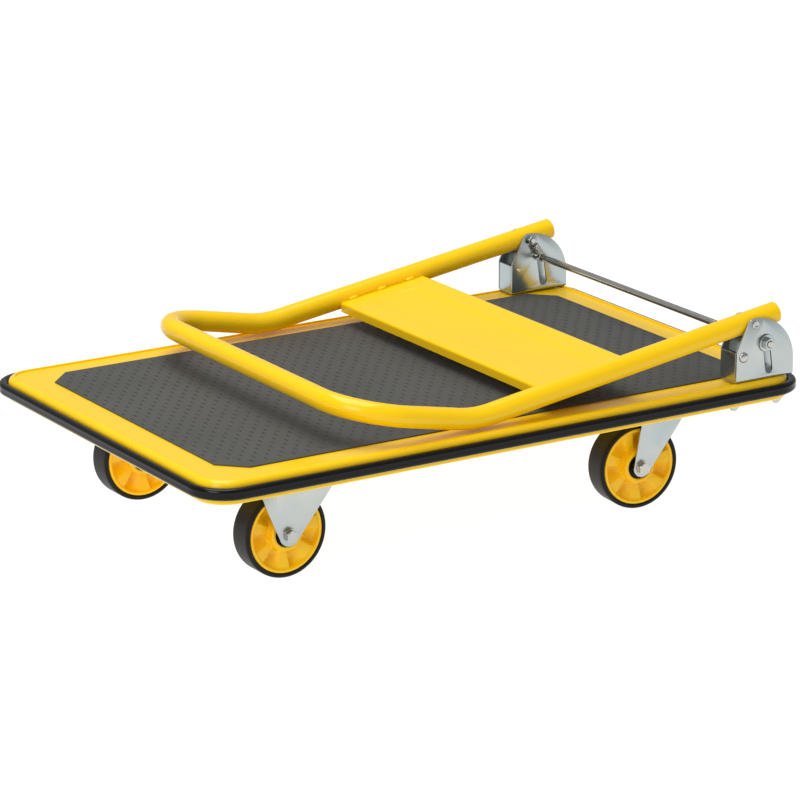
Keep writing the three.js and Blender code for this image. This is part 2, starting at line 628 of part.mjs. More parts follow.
place('lock_bar', barY(LOCK_BAR_X, LOCK_BAR_Z, LOCK_BAR_RADIUS, -barReach - 10.5, barReach + 10.5, 16), steel);

// Washer and nut seats, outwards from the bracket's outer face.
const washerSeat = barReach + GAP;
const nutSeat = washerSeat + LOCK_WASHER_THICKNESS + GAP;

function onBar(solid, side) {
  const geometry = geometryOf(solid);
  if (side < 0) geometry.rotateZ(Math.PI);
  return geometry.translate(LOCK_BAR_X, 0, LOCK_BAR_Z);
}

for (const [name, side] of SIDES_OF_CART) {
  const bore = barY(0, 0, LOCK_BAR_RADIUS + GAP, 0, barReach + 20, 16);
  const washer = cut(barY(0, 0, LOCK_WASHER_RADIUS, washerSeat, washerSeat + LOCK_WASHER_THICKNESS), bore);
  place(`${name}_lock_washer`, onBar(washer, side), zinc);
  place(`${name}_lock_nut`, onBar(cut(hexY(13, nutSeat, nutSeat + 6), bore), side), zinc);
}

// Each spring hangs from the pivot pin's inner end and hooks the bar.
function springSolid() {
  const span = Math.hypot(LOCK_BAR_X - PIVOT_X, LOCK_BAR_Z - PIVOT_Z);
  const top = PIVOT_PIN_RADIUS + GAP;
  const bottom = span - LOCK_BAR_RADIUS - GAP;
  const mid = (top + bottom) / 2;
  const h = SPRING_LENGTH / 2;
  return solidOf(turned([[0, top], [SPRING_HOOK_RADIUS, top], [SPRING_HOOK_RADIUS, mid - h], [SPRING_RADIUS, mid - h],
    [SPRING_RADIUS, mid + h], [SPRING_HOOK_RADIUS, mid + h], [SPRING_HOOK_RADIUS, bottom], [0, bottom]], 12));
}

for (const [name, side] of SIDES_OF_CART) {
  const hang = new THREE.Group();
  hang.position.set(PIVOT_X, side * (handleHalfWidth - legOuter - SPRING_OFFSET), PIVOT_Z);
  const down = new THREE.Vector3(LOCK_BAR_X - PIVOT_X, 0, LOCK_BAR_Z - PIVOT_Z).normalize();
  hang.quaternion.setFromUnitVectors(new THREE.Vector3(0, 1, 0), down);
  root.add(hang);
  place(`${name}_latch_spring`, springSolid(), steel, hang);
}

export default root;
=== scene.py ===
import json
import math

import bmesh
import bpy
from mathutils import Matrix, Quaternion, Vector

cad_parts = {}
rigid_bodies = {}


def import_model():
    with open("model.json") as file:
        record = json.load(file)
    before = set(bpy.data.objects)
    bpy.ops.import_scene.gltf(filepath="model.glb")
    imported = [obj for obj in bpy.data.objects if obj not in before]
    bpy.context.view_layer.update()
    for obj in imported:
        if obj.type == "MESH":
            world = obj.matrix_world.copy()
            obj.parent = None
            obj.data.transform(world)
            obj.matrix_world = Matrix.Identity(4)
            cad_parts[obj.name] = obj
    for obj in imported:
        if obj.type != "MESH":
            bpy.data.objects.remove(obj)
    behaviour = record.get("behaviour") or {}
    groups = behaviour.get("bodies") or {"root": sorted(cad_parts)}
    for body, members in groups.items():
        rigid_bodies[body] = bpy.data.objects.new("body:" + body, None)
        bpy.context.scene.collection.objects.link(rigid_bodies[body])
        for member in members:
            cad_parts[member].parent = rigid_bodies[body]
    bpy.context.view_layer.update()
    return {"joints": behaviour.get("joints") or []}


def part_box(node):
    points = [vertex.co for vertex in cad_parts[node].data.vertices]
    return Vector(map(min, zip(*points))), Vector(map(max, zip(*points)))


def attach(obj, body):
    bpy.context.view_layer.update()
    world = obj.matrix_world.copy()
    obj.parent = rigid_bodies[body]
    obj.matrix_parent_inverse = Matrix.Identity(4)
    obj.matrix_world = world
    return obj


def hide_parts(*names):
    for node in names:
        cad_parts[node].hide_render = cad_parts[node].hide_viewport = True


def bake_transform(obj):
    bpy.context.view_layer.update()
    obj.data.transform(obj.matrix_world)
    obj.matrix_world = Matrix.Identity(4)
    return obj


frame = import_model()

# ---- Pressed steel deck ----
# One shallow pan pressed from 1.5 mm sheet: a flat border, rolled edges, a skirt and a flange turned in below.
# The bed for the mat is pressed 2 mm deep with cut corners. The whole pan is powder coated in a gloss yellow.
DECK_CORNER = 0.034
DECK_ROLL = 0.008
DECK_SHEET = 0.0015
DECK_FLANGE = 0.030
MAT_BED_DEPTH = 0.002
BED_GAP = 0.0012
BED_EDGE_BEND = 0.0008
FLANGE_BEND = 0.003
MAT_CORNER_CUT = 0.0278
deck_low, deck_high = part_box("deck")
mat_low, mat_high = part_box("anti_slip_mat")


def surface_group():
    """Colour, roughness and fine relief that change over a surface, for every finish on the cart."""
    group = bpy.data.node_groups.new("surface_variation", "ShaderNodeTree")
    for name, kind, value in (
        ("Colour", "NodeSocketColor", (0.8, 0.8, 0.8, 1)), ("Tint", "NodeSocketColor", (0.5, 0.5, 0.5, 1)),
        ("Tint Scale", "NodeSocketFloat", 8.0), ("Tint Amount", "NodeSocketFloat", 0.3),
        ("Grain Scale", "NodeSocketFloat", 900.0), ("Stretch", "NodeSocketVector", (1, 1, 1)),
        ("Roughness", "NodeSocketFloat", 0.4), ("Roughness Spread", "NodeSocketFloat", 0.1),
    ):
        group.interface.new_socket(name, in_out="INPUT", socket_type=kind).default_value = value
    for name, kind in (("Colour", "NodeSocketColor"), ("Roughness", "NodeSocketFloat"), ("Height", "NodeSocketFloat")):
        group.interface.new_socket(name, in_out="OUTPUT", socket_type=kind)
    nodes, links = group.nodes, group.links
    given, out = nodes.new("NodeGroupInput"), nodes.new("NodeGroupOutput")
    place = nodes.new("ShaderNodeTexCoord")
    stretched = nodes.new("ShaderNodeVectorMath")
    stretched.operation = "MULTIPLY"
    links.new(place.outputs["Object"], stretched.inputs[0])
    links.new(given.outputs["Stretch"], stretched.inputs[1])
    blotch, grain = nodes.new("ShaderNodeTexNoise"), nodes.new("ShaderNodeTexNoise")
    blotch.inputs["Detail"].default_value = 4
    grain.inputs["Detail"].default_value = 3
    links.new(place.outputs["Object"], blotch.inputs["Vector"])
    links.new(stretched.outputs[0], grain.inputs["Vector"])
    links.new(given.outputs["Tint Scale"], blotch.inputs["Scale"])
    links.new(given.outputs["Grain Scale"], grain.inputs["Scale"])
    spread = nodes.new("ShaderNodeMapRange")
    spread.inputs["From Min"].default_value = 0.35
    spread.inputs["From Max"].default_value = 0.68
    links.new(blotch.outputs["Fac"], spread.inputs["Value"])
    links.new(given.outputs["Tint Amount"], spread.inputs["To Max"])
    mix = nodes.new("ShaderNodeMix")
    mix.data_type = "RGBA"
    links.new(spread.outputs["Result"], mix.inputs["Factor"])
    links.new(given.outputs["Colour"], mix.inputs["A"])
    links.new(given.outputs["Tint"], mix.inputs["B"])
    uneven = nodes.new("ShaderNodeMath")
    uneven.operation = "ADD"
    links.new(grain.outputs["Fac"], uneven.inputs[0])
    links.new(blotch.outputs["Fac"], uneven.inputs[1])
    centred = nodes.new("ShaderNodeMath")
    centred.operation = "SUBTRACT"
    centred.inputs[1].default_value = 1.0
    links.new(uneven.outputs[0], centred.inputs[0])
    rough = nodes.new("ShaderNodeMath")
    rough.operation = "MULTIPLY_ADD"
    rough.use_clamp = True
    links.new(centred.outputs[0], rough.inputs[0])
    links.new(given.outputs["Roughness Spread"], rough.inputs[1])
    links.new(given.outputs["Roughness"], rough.inputs[2])
    links.new(mix.outputs["Result"], out.inputs["Colour"])
    links.new(rough.outputs[0], out.inputs["Roughness"])
    links.new(grain.outputs["Fac"], out.inputs["Height"])
    return group


surface_variation = surface_group()


def new_finish(name, colour, tint, relief, metallic=0.0, coat=0.0, specular=0.5, **values):
    """A material whose colour, roughness and relief come from surface_variation. relief is in millimetres."""
    finish = bpy.data.materials.new(name)
    finish.use_nodes = True
    tree = finish.node_tree
    shader = tree.nodes["Principled BSDF"]
    shader.inputs["Metallic"].default_value = metallic
    shader.inputs["Coat Weight"].default_value = coat
    shader.inputs["Coat Roughness"].default_value = 0.06
    shader.inputs["Specular IOR Level"].default_value = specular
    variation = tree.nodes.new("ShaderNodeGroup")
    variation.node_tree = surface_variation
    variation.name = "variation"
    variation.inputs["Colour"].default_value = (*colour, 1)
    variation.inputs["Tint"].default_value = (*tint, 1)
    for socket, value in values.items():
        variation.inputs[socket.replace("_", " ").title()].default_value = value
    bump = tree.nodes.new("ShaderNodeBump")
    bump.inputs["Distance"].default_value = relief / 1000
    bump.inputs["Strength"].default_value = 0.5
    tree.links.new(variation.outputs["Colour"], shader.inputs["Base Color"])
    tree.links.new(variation.outputs["Roughness"], shader.inputs["Roughness"])
    tree.links.new(variation.outputs["Height"], bump.inputs["Height"])
    tree.links.new(bump.outputs["Normal"], shader.inputs["Normal"])
    return finish


def select(kind, wanted):
    """In edit mode, selects only the vertices, edges or faces that pass the test."""
    bpy.ops.mesh.select_mode(type=kind)
    bpy.ops.mesh.select_all(action="DESELECT")
    shape = bmesh.from_edit_mesh(bpy.context.object.data)
    for item in {"VERT": shape.verts, "EDGE": shape.edges, "FACE": shape.faces}[kind]:
        if wanted(item):
            item.select_set(True)
    shape.select_flush_mode()
    bmesh.update_edit_mesh(bpy.context.object.data)


def flat_edge(height):
    """A test for edges that lie level at a height."""
    return lambda edge: all(abs(end.co.z - height) < 1e-5 for end in edge.verts)


def edit():
    bpy.ops.object.mode_set(mode="EDIT")


def close_edit():
    bpy.ops.object.mode_set(mode="OBJECT")


def extrude(*step):
    bpy.ops.mesh.extrude_region_move(TRANSFORM_OT_translate={"value": step})


def sheet(x0, x1, y0, y1, z, corner, steps):
    """A flat face with rounded or cut corners, left in edit mode."""
    bpy.ops.object.select_all(action="DESELECT")
    bpy.ops.mesh.primitive_plane_add(size=1, location=((x0 + x1) / 2, (y0 + y1) / 2, z))
    bpy.context.object.scale = (x1 - x0, y1 - y0, 1)
    bpy.ops.object.transform_apply(location=True, rotation=True, scale=True)
    edit()
    bpy.ops.mesh.select_all(action="SELECT")
    bpy.ops.mesh.bevel(offset=corner, segments=steps, affect="VERTICES")
    return bpy.context.object


def modify(piece, kind, **settings):
    """Adds a modifier to a piece and applies it."""
    modifier = piece.modifiers.new(kind.lower(), kind)
    for setting, value in settings.items():
        setattr(modifier, setting, value)
    bpy.ops.object.select_all(action="DESELECT")
    piece.select_set(True)
    bpy.context.view_layer.objects.active = piece
    bpy.ops.object.modifier_apply(modifier=modifier.name)
    return piece


def settle(piece, name, finish, body, slot, *nodes, sharp=32):
    """Names a modelled piece, applies its place, smooths it, puts its finish on and rides it on its body."""
    bpy.ops.object.select_all(action="DESELECT")
    piece.select_set(True)
    bpy.context.view_layer.objects.active = piece
    bpy.ops.object.transform_apply(location=True, rotation=True, scale=True)
    bpy.ops.object.shade_smooth_by_angle(angle=math.radians(sharp))
    piece.name = piece.data.name = name
    piece.data.materials.clear()
    piece.data.materials.append(finish)
    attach(piece, body)
    if nodes:
        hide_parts(*nodes)
    return piece


yellow_coat = new_finish("yellow_coat", (1.0, 0.625, 0.0), (0.98, 0.575, 0.0), 0.012, coat=0.12, specular=0.3,
                         tint_scale=6.0, tint_amount=0.35, grain_scale=420.0, roughness=0.24, roughness_spread=0.10)

deck = sheet(deck_low.x, deck_high.x, deck_low.y, deck_high.y, deck_low.z, DECK_CORNER, 12)
bpy.ops.mesh.select_all(action="SELECT")
extrude(0, 0, deck_high.z - deck_low.z)
select("EDGE", flat_edge(deck_high.z))
bpy.ops.mesh.bevel(offset=DECK_ROLL, segments=7)
close_edit()
sheet(mat_low.x - BED_GAP, mat_high.x + BED_GAP, mat_low.y - BED_GAP, mat_high.y + BED_GAP, deck_high.z,
      MAT_CORNER_CUT, 1)
close_edit()
deck.select_set(True)
bpy.context.view_layer.objects.active = deck
bpy.ops.object.join()
edit()
select("FACE", lambda face: face.normal.z > 0.999 and face.calc_area() > 0.1)
bpy.ops.mesh.delete(type="ONLY_FACE")
select("EDGE", lambda edge: edge.is_boundary and flat_edge(deck_high.z)(edge))
bpy.ops.mesh.bridge_edge_loops()
select("EDGE", lambda edge: edge.is_boundary and flat_edge(deck_high.z)(edge))
extrude(0, 0, -MAT_BED_DEPTH)
bpy.ops.mesh.edge_face_add()
bpy.ops.mesh.normals_make_consistent(inside=False)
select("EDGE", lambda edge: flat_edge(deck_high.z)(edge) and len(edge.link_faces) == 2
       and any(abs(face.normal.z) < 0.1 for face in edge.link_faces))
bpy.ops.mesh.bevel(offset=BED_EDGE_BEND, segments=3)
select("EDGE", lambda edge: edge.is_boundary)
extrude(0, 0, 0)
corner_x, corner_y = deck_high.x - DECK_CORNER, deck_high.y - DECK_CORNER
for vertex in bmesh.from_edit_mesh(deck.data).verts:
    if vertex.select:
        middle = Vector((math.copysign(corner_x, vertex.co.x), math.copysign(corner_y, vertex.co.y), vertex.co.z))
        vertex.co = middle + (vertex.co - middle) * (1 - DECK_FLANGE / DECK_CORNER)
select("EDGE", lambda edge: flat_edge(deck_low.z)(edge) and any(abs(face.normal.z) < 0.1 for face in edge.link_faces))
bpy.ops.mesh.bevel(offset=FLANGE_BEND, segments=4)
bpy.ops.mesh.select_all(action="SELECT")
bpy.ops.mesh.normals_make_consistent(inside=False)
close_edit()
modify(deck, "SOLIDIFY", thickness=DECK_SHEET, offset=-1)
settle(deck, "pressed_deck", yellow_coat, "base", "yellow_paint", "deck")

# ---- Anti-slip mat ----
# A thin rubber sheet glued into the deck's bed, level with the border. Short raised bars stand on it in staggered
# rows across the cart, coloured darker than the sheet as painted shade; its surface is dull and lightly grained.
BAR_LENGTH = 0.0078
BAR_WIDTH = 0.0030
BAR_RISE = 0.00045
ROW_PITCH = 0.0172
BAR_PITCH = 0.0220

mat_black = new_finish("mat_rubber_grain", (0.085, 0.085, 0.079), (0.058, 0.058, 0.054), 0.10, specular=0.22,
                       tint_scale=5.0, tint_amount=0.6, grain_scale=1400.0, roughness=0.62, roughness_spread=0.18)

mat = sheet(mat_low.x, mat_high.x, mat_low.y, mat_high.y, mat_low.z, MAT_CORNER_CUT, 1)
bpy.ops.mesh.select_all(action="SELECT")
extrude(0, 0, mat_high.z - mat_low.z)
select("EDGE", flat_edge(mat_high.z))
bpy.ops.mesh.bevel(offset=0.0004, segments=2)
close_edit()

bars_across = int((mat_high.y - mat_low.y) / BAR_PITCH)
rows_along = int((mat_high.x - mat_low.x) / ROW_PITCH)
for shift in (0.0, 0.5):
    bpy.ops.object.select_all(action="DESELECT")
    first = (-(rows_along - 1) / 2 + shift - 0.25, -(bars_across - 1) / 2 + shift - 0.25)
    bpy.ops.mesh.primitive_cube_add(size=1, location=(first[0] * ROW_PITCH, first[1] * BAR_PITCH,
                                                      mat_high.z + BAR_RISE / 2 - 0.0002))
    bars = bpy.context.object
    bars.scale = (BAR_WIDTH, BAR_LENGTH, BAR_RISE + 0.0004)
    bpy.ops.object.transform_apply(location=True, rotation=True, scale=True)
    edit()
    select("FACE", lambda face: face.normal.z < -0.9)
    bpy.ops.mesh.delete(type="FACE")
    select("FACE", lambda face: face.normal.z > 0.9)
    bpy.ops.transform.resize(value=(0.5, 0.8, 1))
    close_edit()
    modify(bars, "ARRAY", count=rows_along, use_relative_offset=False, use_constant_offset=True,
           constant_offset_displace=(ROW_PITCH, 0, 0))
    modify(bars, "ARRAY", count=bars_across, use_relative_offset=False, use_constant_offset=True,
           constant_offset_displace=(0, BAR_PITCH, 0))
    edit()
    reach = mat_high.x + mat_high.y - MAT_CORNER_CUT - 0.008
    select("VERT", lambda vertex: abs(vertex.co.x) + abs(vertex.co.y) > reach)
    bpy.ops.mesh.select_linked()
    bpy.ops.mesh.delete(type="VERT")
    close_edit()
    bars.select_set(True)
    mat.select_set(True)
    bpy.context.view_layer.objects.active = mat
    bpy.ops.object.join()
settle(mat, "mat_sheet", mat_black, "base", "mat_rubber", "anti_slip_mat")
# The bars take a darker colour than the sheet: painted shade for the dark dashes, not a darker rubber.
bar_painted_shade = new_finish("mat_bar_painted_shade", (0.026, 0.026, 0.024), (0.040, 0.040, 0.037), 0.03, specular=0.25,
                       tint_scale=5.0, tint_amount=0.6, grain_scale=1400.0, roughness=0.5)
mat.data.materials.append(bar_painted_shade)
# Faces standing above the sheet's top get the bars' painted-shade colour.
for face in mat.data.polygons:
    face.material_index = int(face.center.z > mat_high.z + 0.0001)

# ---- Rubber edge strip ----
# An extruded rubber bumper stretched round the skirt. Its round outer face has a shallow groove along the
# middle. It is bent round the deck's corners and is shiny from the die.
STRIP_GROOVE = 0.0009
STRIP_GAP = 0.0003
STRIP_POINTS = 32
strip_low, strip_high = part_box("edge_bumper")


def run(place, heading, length):
    """Draws the selected open ring straight on, and returns where its middle is now."""
    extrude(*(heading * length))
    return place + heading * length


def bend(place, heading, towards, radius, degrees, steps):
    """Draws the selected open ring round a bend, and returns its new middle and heading."""
    axis = heading.cross(towards).normalized()
    centre = place + towards * radius
    bpy.ops.mesh.spin(steps=steps, angle=-math.radians(degrees), center=centre, axis=axis)
    turned_by = Quaternion(axis, math.radians(degrees))
    return centre + turned_by @ (place - centre), turned_by @ heading


def open_ring(points):
    """A closed chain of edges through the points, in edit mode and selected."""
    bpy.ops.object.select_all(action="DESELECT")
    bpy.ops.mesh.primitive_circle_add(vertices=len(points), fill_type="NOTHING")
    for vertex, point in zip(bpy.context.object.data.vertices, points):
        vertex.co = point
    edit()
    bpy.ops.mesh.select_all(action="SELECT")
    return bpy.context.object


strip_black = new_finish("strip_rubber", (0.003, 0.003, 0.003), (0.006, 0.006, 0.006), 0.003, specular=0.22,
                         tint_scale=9.0, tint_amount=0.5, grain_scale=600.0, roughness=0.14, roughness_spread=0.08)

strip_depth = strip_high.x - deck_high.x
strip_half = (strip_high.z - strip_low.z) / 2
section = []
for step in range(STRIP_POINTS):
    angle = step * math.tau / STRIP_POINTS
    out = math.copysign(abs(math.cos(angle)) ** 0.7, math.cos(angle))
    up = math.copysign(abs(math.sin(angle)) ** 0.75, math.sin(angle))
    groove = STRIP_GROOVE * math.exp(-((up / 0.22) ** 2)) if out > 0 else 0
    section.append((deck_high.x + STRIP_GAP + (strip_depth - STRIP_GAP) * (1 + out) / 2 - groove, -corner_y,
                    (strip_low.z + strip_high.z) / 2 + strip_half * up))
strip = open_ring(section)
place, heading = Vector((deck_high.x, -corner_y, 0)), Vector((0, 1, 0))
for length in (2 * corner_y, 2 * corner_x, 2 * corner_y, 2 * corner_x):
    place = run(place, heading, length)
    place, heading = bend(place, heading, Vector((-heading.y, heading.x, 0)), DECK_CORNER, 90, 12)
bpy.ops.mesh.select_all(action="SELECT")
bpy.ops.mesh.remove_doubles(threshold=0.00005)
bpy.ops.mesh.normals_make_consistent(inside=False)
close_edit()
settle(strip, "bumper_strip", strip_black, "base", "bumper_rubber", "edge_bumper", sharp=60)

# ---- Cross channels under the deck ----
# Two open channels folded from 2 mm sheet and welded across the pan. The caster plates bolt up to them.
CHANNEL_SHEET = 0.002


def trough(low, high, sheet_thickness, bend_radius, open_faces):
    """A box folded from sheet with some faces left out and its remaining corners rounded."""
    bpy.ops.object.select_all(action="DESELECT")
    bpy.ops.mesh.primitive_cube_add(size=1, location=(low + high) / 2)
    piece = bpy.context.object
    piece.scale = high - low
    bpy.ops.object.transform_apply(location=True, rotation=True, scale=True)
    edit()
    select("FACE", lambda face: any(face.normal.dot(Vector(way)) > 0.9 for way in open_faces))
    bpy.ops.mesh.delete(type="FACE")
    select("EDGE", lambda edge: not edge.is_boundary)
    bpy.ops.mesh.bevel(offset=bend_radius, segments=5)
    close_edit()
    modify(piece, "SOLIDIFY", thickness=sheet_thickness, offset=-1)
    return piece


for end in ("front", "rear"):
    low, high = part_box(f"{end}_cross_channel")
    channel = trough(low, high, CHANNEL_SHEET, 0.004, ((0, 0, 1), (0, 1, 0), (0, -1, 0)))
    modify(channel, "BEVEL", width=0.0003, segments=2, limit_method="ANGLE")
    settle(channel, f"{end}_channel", yellow_coat, "base", "yellow_paint", f"{end}_cross_channel")

# ---- Handle tube ----
# One 25 mm steel tube bent into a U, with a shallow kink in each side so that it lies over the deck when
# folded. It is coated like the deck. The pivot pins pass through it near its open ends.
TUBE_RADIUS = 0.0125
TUBE_SHORTFALL = 0.0003
TUBE_WALL = 0.0015
STUB = 0.0385
KINK_PLACE = Vector((-0.045, 0, 0.15753))
KINK_RADIUS = 0.120
GRIP_X = -0.197
GRIP_RISE = math.radians(11.3)
GRIP_RADIUS = 0.070
folding = next(joint for joint in frame["joints"] if joint["name"] == "handle_fold")
pivot = Vector(folding["pos_m"])
tube_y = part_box("handle_tube")[1].y - TUBE_RADIUS
down_run = (KINK_PLACE - pivot).normalized()
grip_run = Vector((-math.cos(GRIP_RISE), 0, math.sin(GRIP_RISE)))
kink_turn = down_run.angle(grip_run)
kink_tangent = KINK_RADIUS * math.tan(kink_turn / 2)
long_run = STUB + (KINK_PLACE - pivot).length - kink_tangent
short_run = (KINK_PLACE.x - GRIP_X) / math.cos(GRIP_RISE) - kink_tangent - GRIP_RADIUS
across, down_square = Vector((0, 1, 0)), down_run.cross(Vector((0, 1, 0)))

place = pivot - down_run * STUB - across * tube_y
ring = [place + (TUBE_RADIUS - TUBE_SHORTFALL) * (math.cos(a) * across + math.sin(a) * down_square)
        for a in (step * math.tau / 40 for step in range(40))]
handle = open_ring(ring)
place = run(place, down_run, long_run)
lift = (grip_run - down_run * grip_run.dot(down_run)).normalized()
place, heading = bend(place, down_run, lift, KINK_RADIUS, math.degrees(kink_turn), 8)
place = run(place, heading, short_run)
place, heading = bend(place, heading, across, GRIP_RADIUS, 90, 20)
place = run(place, heading, 2 * (tube_y - GRIP_RADIUS))
place, heading = bend(place, heading, -grip_run, GRIP_RADIUS, 90, 20)
place = run(place, heading, short_run)
lift = (grip_run - down_run * grip_run.dot(down_run)).normalized()
lift = (lift - heading * lift.dot(heading)).normalized()
place, heading = bend(place, heading, lift, KINK_RADIUS, math.degrees(kink_turn), 8)
place = run(place, heading, long_run)
bpy.ops.mesh.select_all(action="SELECT")
bpy.ops.mesh.normals_make_consistent(inside=False)
close_edit()
modify(handle, "SOLIDIFY", thickness=TUBE_WALL, offset=-1)
settle(handle, "bent_handle_tube", yellow_coat, "handle", "yellow_paint", "handle_tube", sharp=60)

# ---- Handle panel ----
# A stiffening panel of 1.5 mm sheet welded between the tubes. Its two long edges are folded down and its
# face is stamped with a shallow rectangle inside a fine line. Three weld beads hold each end.
PANEL_FROM_PIVOT = 0.154
PANEL_LENGTH = 0.118
PANEL_SHEET = 0.0015
PANEL_EDGE = 0.012
PANEL_MARGIN = 0.027
LINE_INSET = 0.0075
LINE_WIDTH = 0.0012
LINE_DEPTH = 0.0006
STAMP_DEPTH = 0.0013
STAMP_SLOPE = 0.002
panel_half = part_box("handle_panel")[1].y
along_tube = Matrix.Translation(pivot) @ Matrix.Rotation(-math.atan2(-down_run.z, -down_run.x), 4, "Y")

near_x, far_x = -PANEL_FROM_PIVOT, -PANEL_FROM_PIVOT - PANEL_LENGTH
bpy.ops.object.select_all(action="DESELECT")
bpy.ops.mesh.primitive_plane_add(size=1, location=((near_x + far_x) / 2, 0, 0))
panel = bpy.context.object
panel.scale = (PANEL_LENGTH, 2 * panel_half, 1)
bpy.ops.object.transform_apply(location=True, rotation=True, scale=True)
edit()
bpy.ops.mesh.select_all(action="SELECT")
bpy.ops.mesh.inset(thickness=LINE_INSET, depth=0)
bpy.ops.mesh.inset(thickness=LINE_WIDTH, depth=-LINE_DEPTH)
bpy.ops.mesh.inset(thickness=PANEL_MARGIN - LINE_INSET - LINE_WIDTH, depth=0)
bpy.ops.mesh.inset(thickness=STAMP_SLOPE, depth=-STAMP_DEPTH)
select("EDGE", lambda edge: len(edge.link_faces) == 2 and edge.calc_face_angle(0) > 0.2)
bpy.ops.mesh.bevel(offset=0.0006, segments=3)
select("EDGE", lambda edge: edge.is_boundary and abs(edge.verts[0].co.x - edge.verts[1].co.x) < 1e-6)
extrude(0, 0, -PANEL_EDGE)
select("EDGE", lambda edge: len(edge.link_faces) == 2 and edge.calc_face_angle(0) > 1.4)
bpy.ops.mesh.bevel(offset=0.0035, segments=6)
close_edit()
modify(panel, "SOLIDIFY", thickness=PANEL_SHEET, offset=-1)
panel.data.transform(along_tube)
for end in (-1, 1):
    for spot in (0.16, 0.5, 0.84):
        bpy.ops.object.select_all(action="DESELECT")
        bpy.ops.mesh.primitive_uv_sphere_add(segments=16, ring_count=10, radius=1)
        bead = bpy.context.object
        bead.data.transform(along_tube @ Matrix.Translation((far_x + PANEL_LENGTH * spot, end * panel_half, 0.0006))
                            @ Matrix.Diagonal((0.0065, 0.0028, 0.0022, 1)))
        modify(bead, "SUBSURF", levels=1, render_levels=1)
        bead.select_set(True)
        panel.select_set(True)
        bpy.context.view_layer.objects.active = panel
        bpy.ops.object.join()
settle(panel, "stamped_panel", yellow_coat, "handle", "yellow_paint", "handle_panel")

# ---- Hinge brackets ----
# Two brackets folded from 2 mm zinc plated sheet and bolted to the deck's border. Each is a base with two
# rounded legs and a front web. A slot in each leg guides the lock bar.
BRACKET_SHEET = 0.002
BRACKET_SHOULDER = 0.183
BRACKET_NOSE = 0.0115
BRACKET_NOSE_BACK = 0.0004
WEB_TOP = 0.182
SLOT_HALF = 0.0052
SLOT_DROP = 0.0315
SLOT_LEAN = 8.5
bar_low, bar_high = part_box("lock_bar")
bar_x, bar_z = (bar_low.x + bar_high.x) / 2, (bar_low.z + bar_high.z) / 2

zinc_plate = new_finish("zinc_plate", (0.43, 0.49, 0.50), (0.62, 0.61, 0.56), 0.003, metallic=1.0,
                        tint_scale=16.0, tint_amount=0.7, grain_scale=200.0, stretch=(1, 1, 5), roughness=0.24,
                        roughness_spread=0.12)


def arc(cx, cz, radius, start, stop, steps):
    """Points of an arc in the XZ plane, from one angle to another in degrees."""
    angles = (math.radians(start + (stop - start) * step / steps) for step in range(steps + 1))
    return [(cx + radius * math.cos(a), cz + radius * math.sin(a)) for a in angles]


def side_block(outline, y0, y1):
    """A block whose side view is the outline, from y0 to y1."""
    bpy.ops.object.select_all(action="DESELECT")
    bpy.ops.mesh.primitive_circle_add(vertices=len(outline), fill_type="NGON")
    piece = bpy.context.object
    for vertex, (x, z) in zip(piece.data.vertices, outline):
        vertex.co = (x, y0, z)
    edit()
    bpy.ops.mesh.select_all(action="SELECT")
    extrude(0, y1 - y0, 0)
    select("EDGE", lambda edge: edge.is_boundary)
    bpy.ops.mesh.edge_face_add()
    bpy.ops.mesh.select_all(action="SELECT")
    bpy.ops.mesh.normals_make_consistent(inside=False)
    close_edit()
    return piece


def combine(piece, tool, operation):
    """Cuts or keeps part of a piece with another, which is used up."""
    modify(piece, "BOOLEAN", object=tool, operation=operation, solver="EXACT")
    bpy.data.objects.remove(tool)
    return piece


def weld(piece, *others):
    """Joins finished shapes into one piece."""
    bpy.ops.object.select_all(action="DESELECT")
    for other in (piece, *others):
        other.select_set(True)
    bpy.context.view_layer.objects.active = piece
    bpy.ops.object.join()
    return piece


for side in ("left", "right"):
    low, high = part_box(f"{side}_hinge_bracket")
    bracket = trough(low, high, BRACKET_SHEET, 0.0026, ((0, 0, 1), (1, 0, 0), (-1, 0, 0)))
    nose_x, nose_z = pivot.x - BRACKET_NOSE_BACK, high.z - BRACKET_NOSE
    back = high.x - nose_x
    rise, reach = nose_z - BRACKET_SHOULDER, nose_x - low.x
    slant = math.degrees(math.atan2(rise, reach) + math.asin(BRACKET_NOSE / math.hypot(rise, reach)))
    outline = [(low.x, low.z - 0.001), (high.x, low.z - 0.001)] + arc(nose_x, high.z - back, back, 0, 90, 24)[:-1]
    outline += arc(nose_x, nose_z, BRACKET_NOSE, 90, 90 + slant, 10) + [(low.x, BRACKET_SHOULDER)]
    combine(bracket, side_block(outline, low.y - 0.01, high.y + 0.01), "INTERSECT")
    lean = math.radians(SLOT_LEAN)
    foot_x, foot_z = bar_x + SLOT_DROP * math.sin(lean), bar_z - SLOT_DROP * math.cos(lean)
    slot_outline = (arc(bar_x, bar_z, SLOT_HALF, SLOT_LEAN, 180 + SLOT_LEAN, 12)
                    + arc(foot_x, foot_z, SLOT_HALF, 180 + SLOT_LEAN, 360 + SLOT_LEAN, 12))
    combine(bracket, side_block(slot_outline, low.y - 0.01, high.y + 0.01), "DIFFERENCE")
    modify(bracket, "BEVEL", width=0.0003, segments=2, limit_method="ANGLE", angle_limit=math.radians(55))
    inset = BRACKET_SHEET + 0.0007
    web = trough(Vector((low.x, low.y + inset, low.z + 0.0001)), Vector((low.x + 0.02, high.y - inset, WEB_TOP)),
                 BRACKET_SHEET, 0.0026, ((0, 0, 1), (1, 0, 0), (0, 1, 0), (0, -1, 0)))
    modify(web, "BEVEL", width=0.0005, segments=3, limit_method="ANGLE", angle_limit=math.radians(55))
    weld(bracket, web)
    settle(bracket, f"{side}_folded_bracket", zinc_plate, "base", "zinc", f"{side}_hinge_bracket")

# ---- Screws, nuts and pins ----
# Plated steel fasteners: bolts through each bracket's base with flanged cap nuts under the deck, a peened
# pivot pin, and a domed stop pin that the tube's end meets when the handle stands up.
TINY = 0.00001
AXIS_MERGE = 0.00004

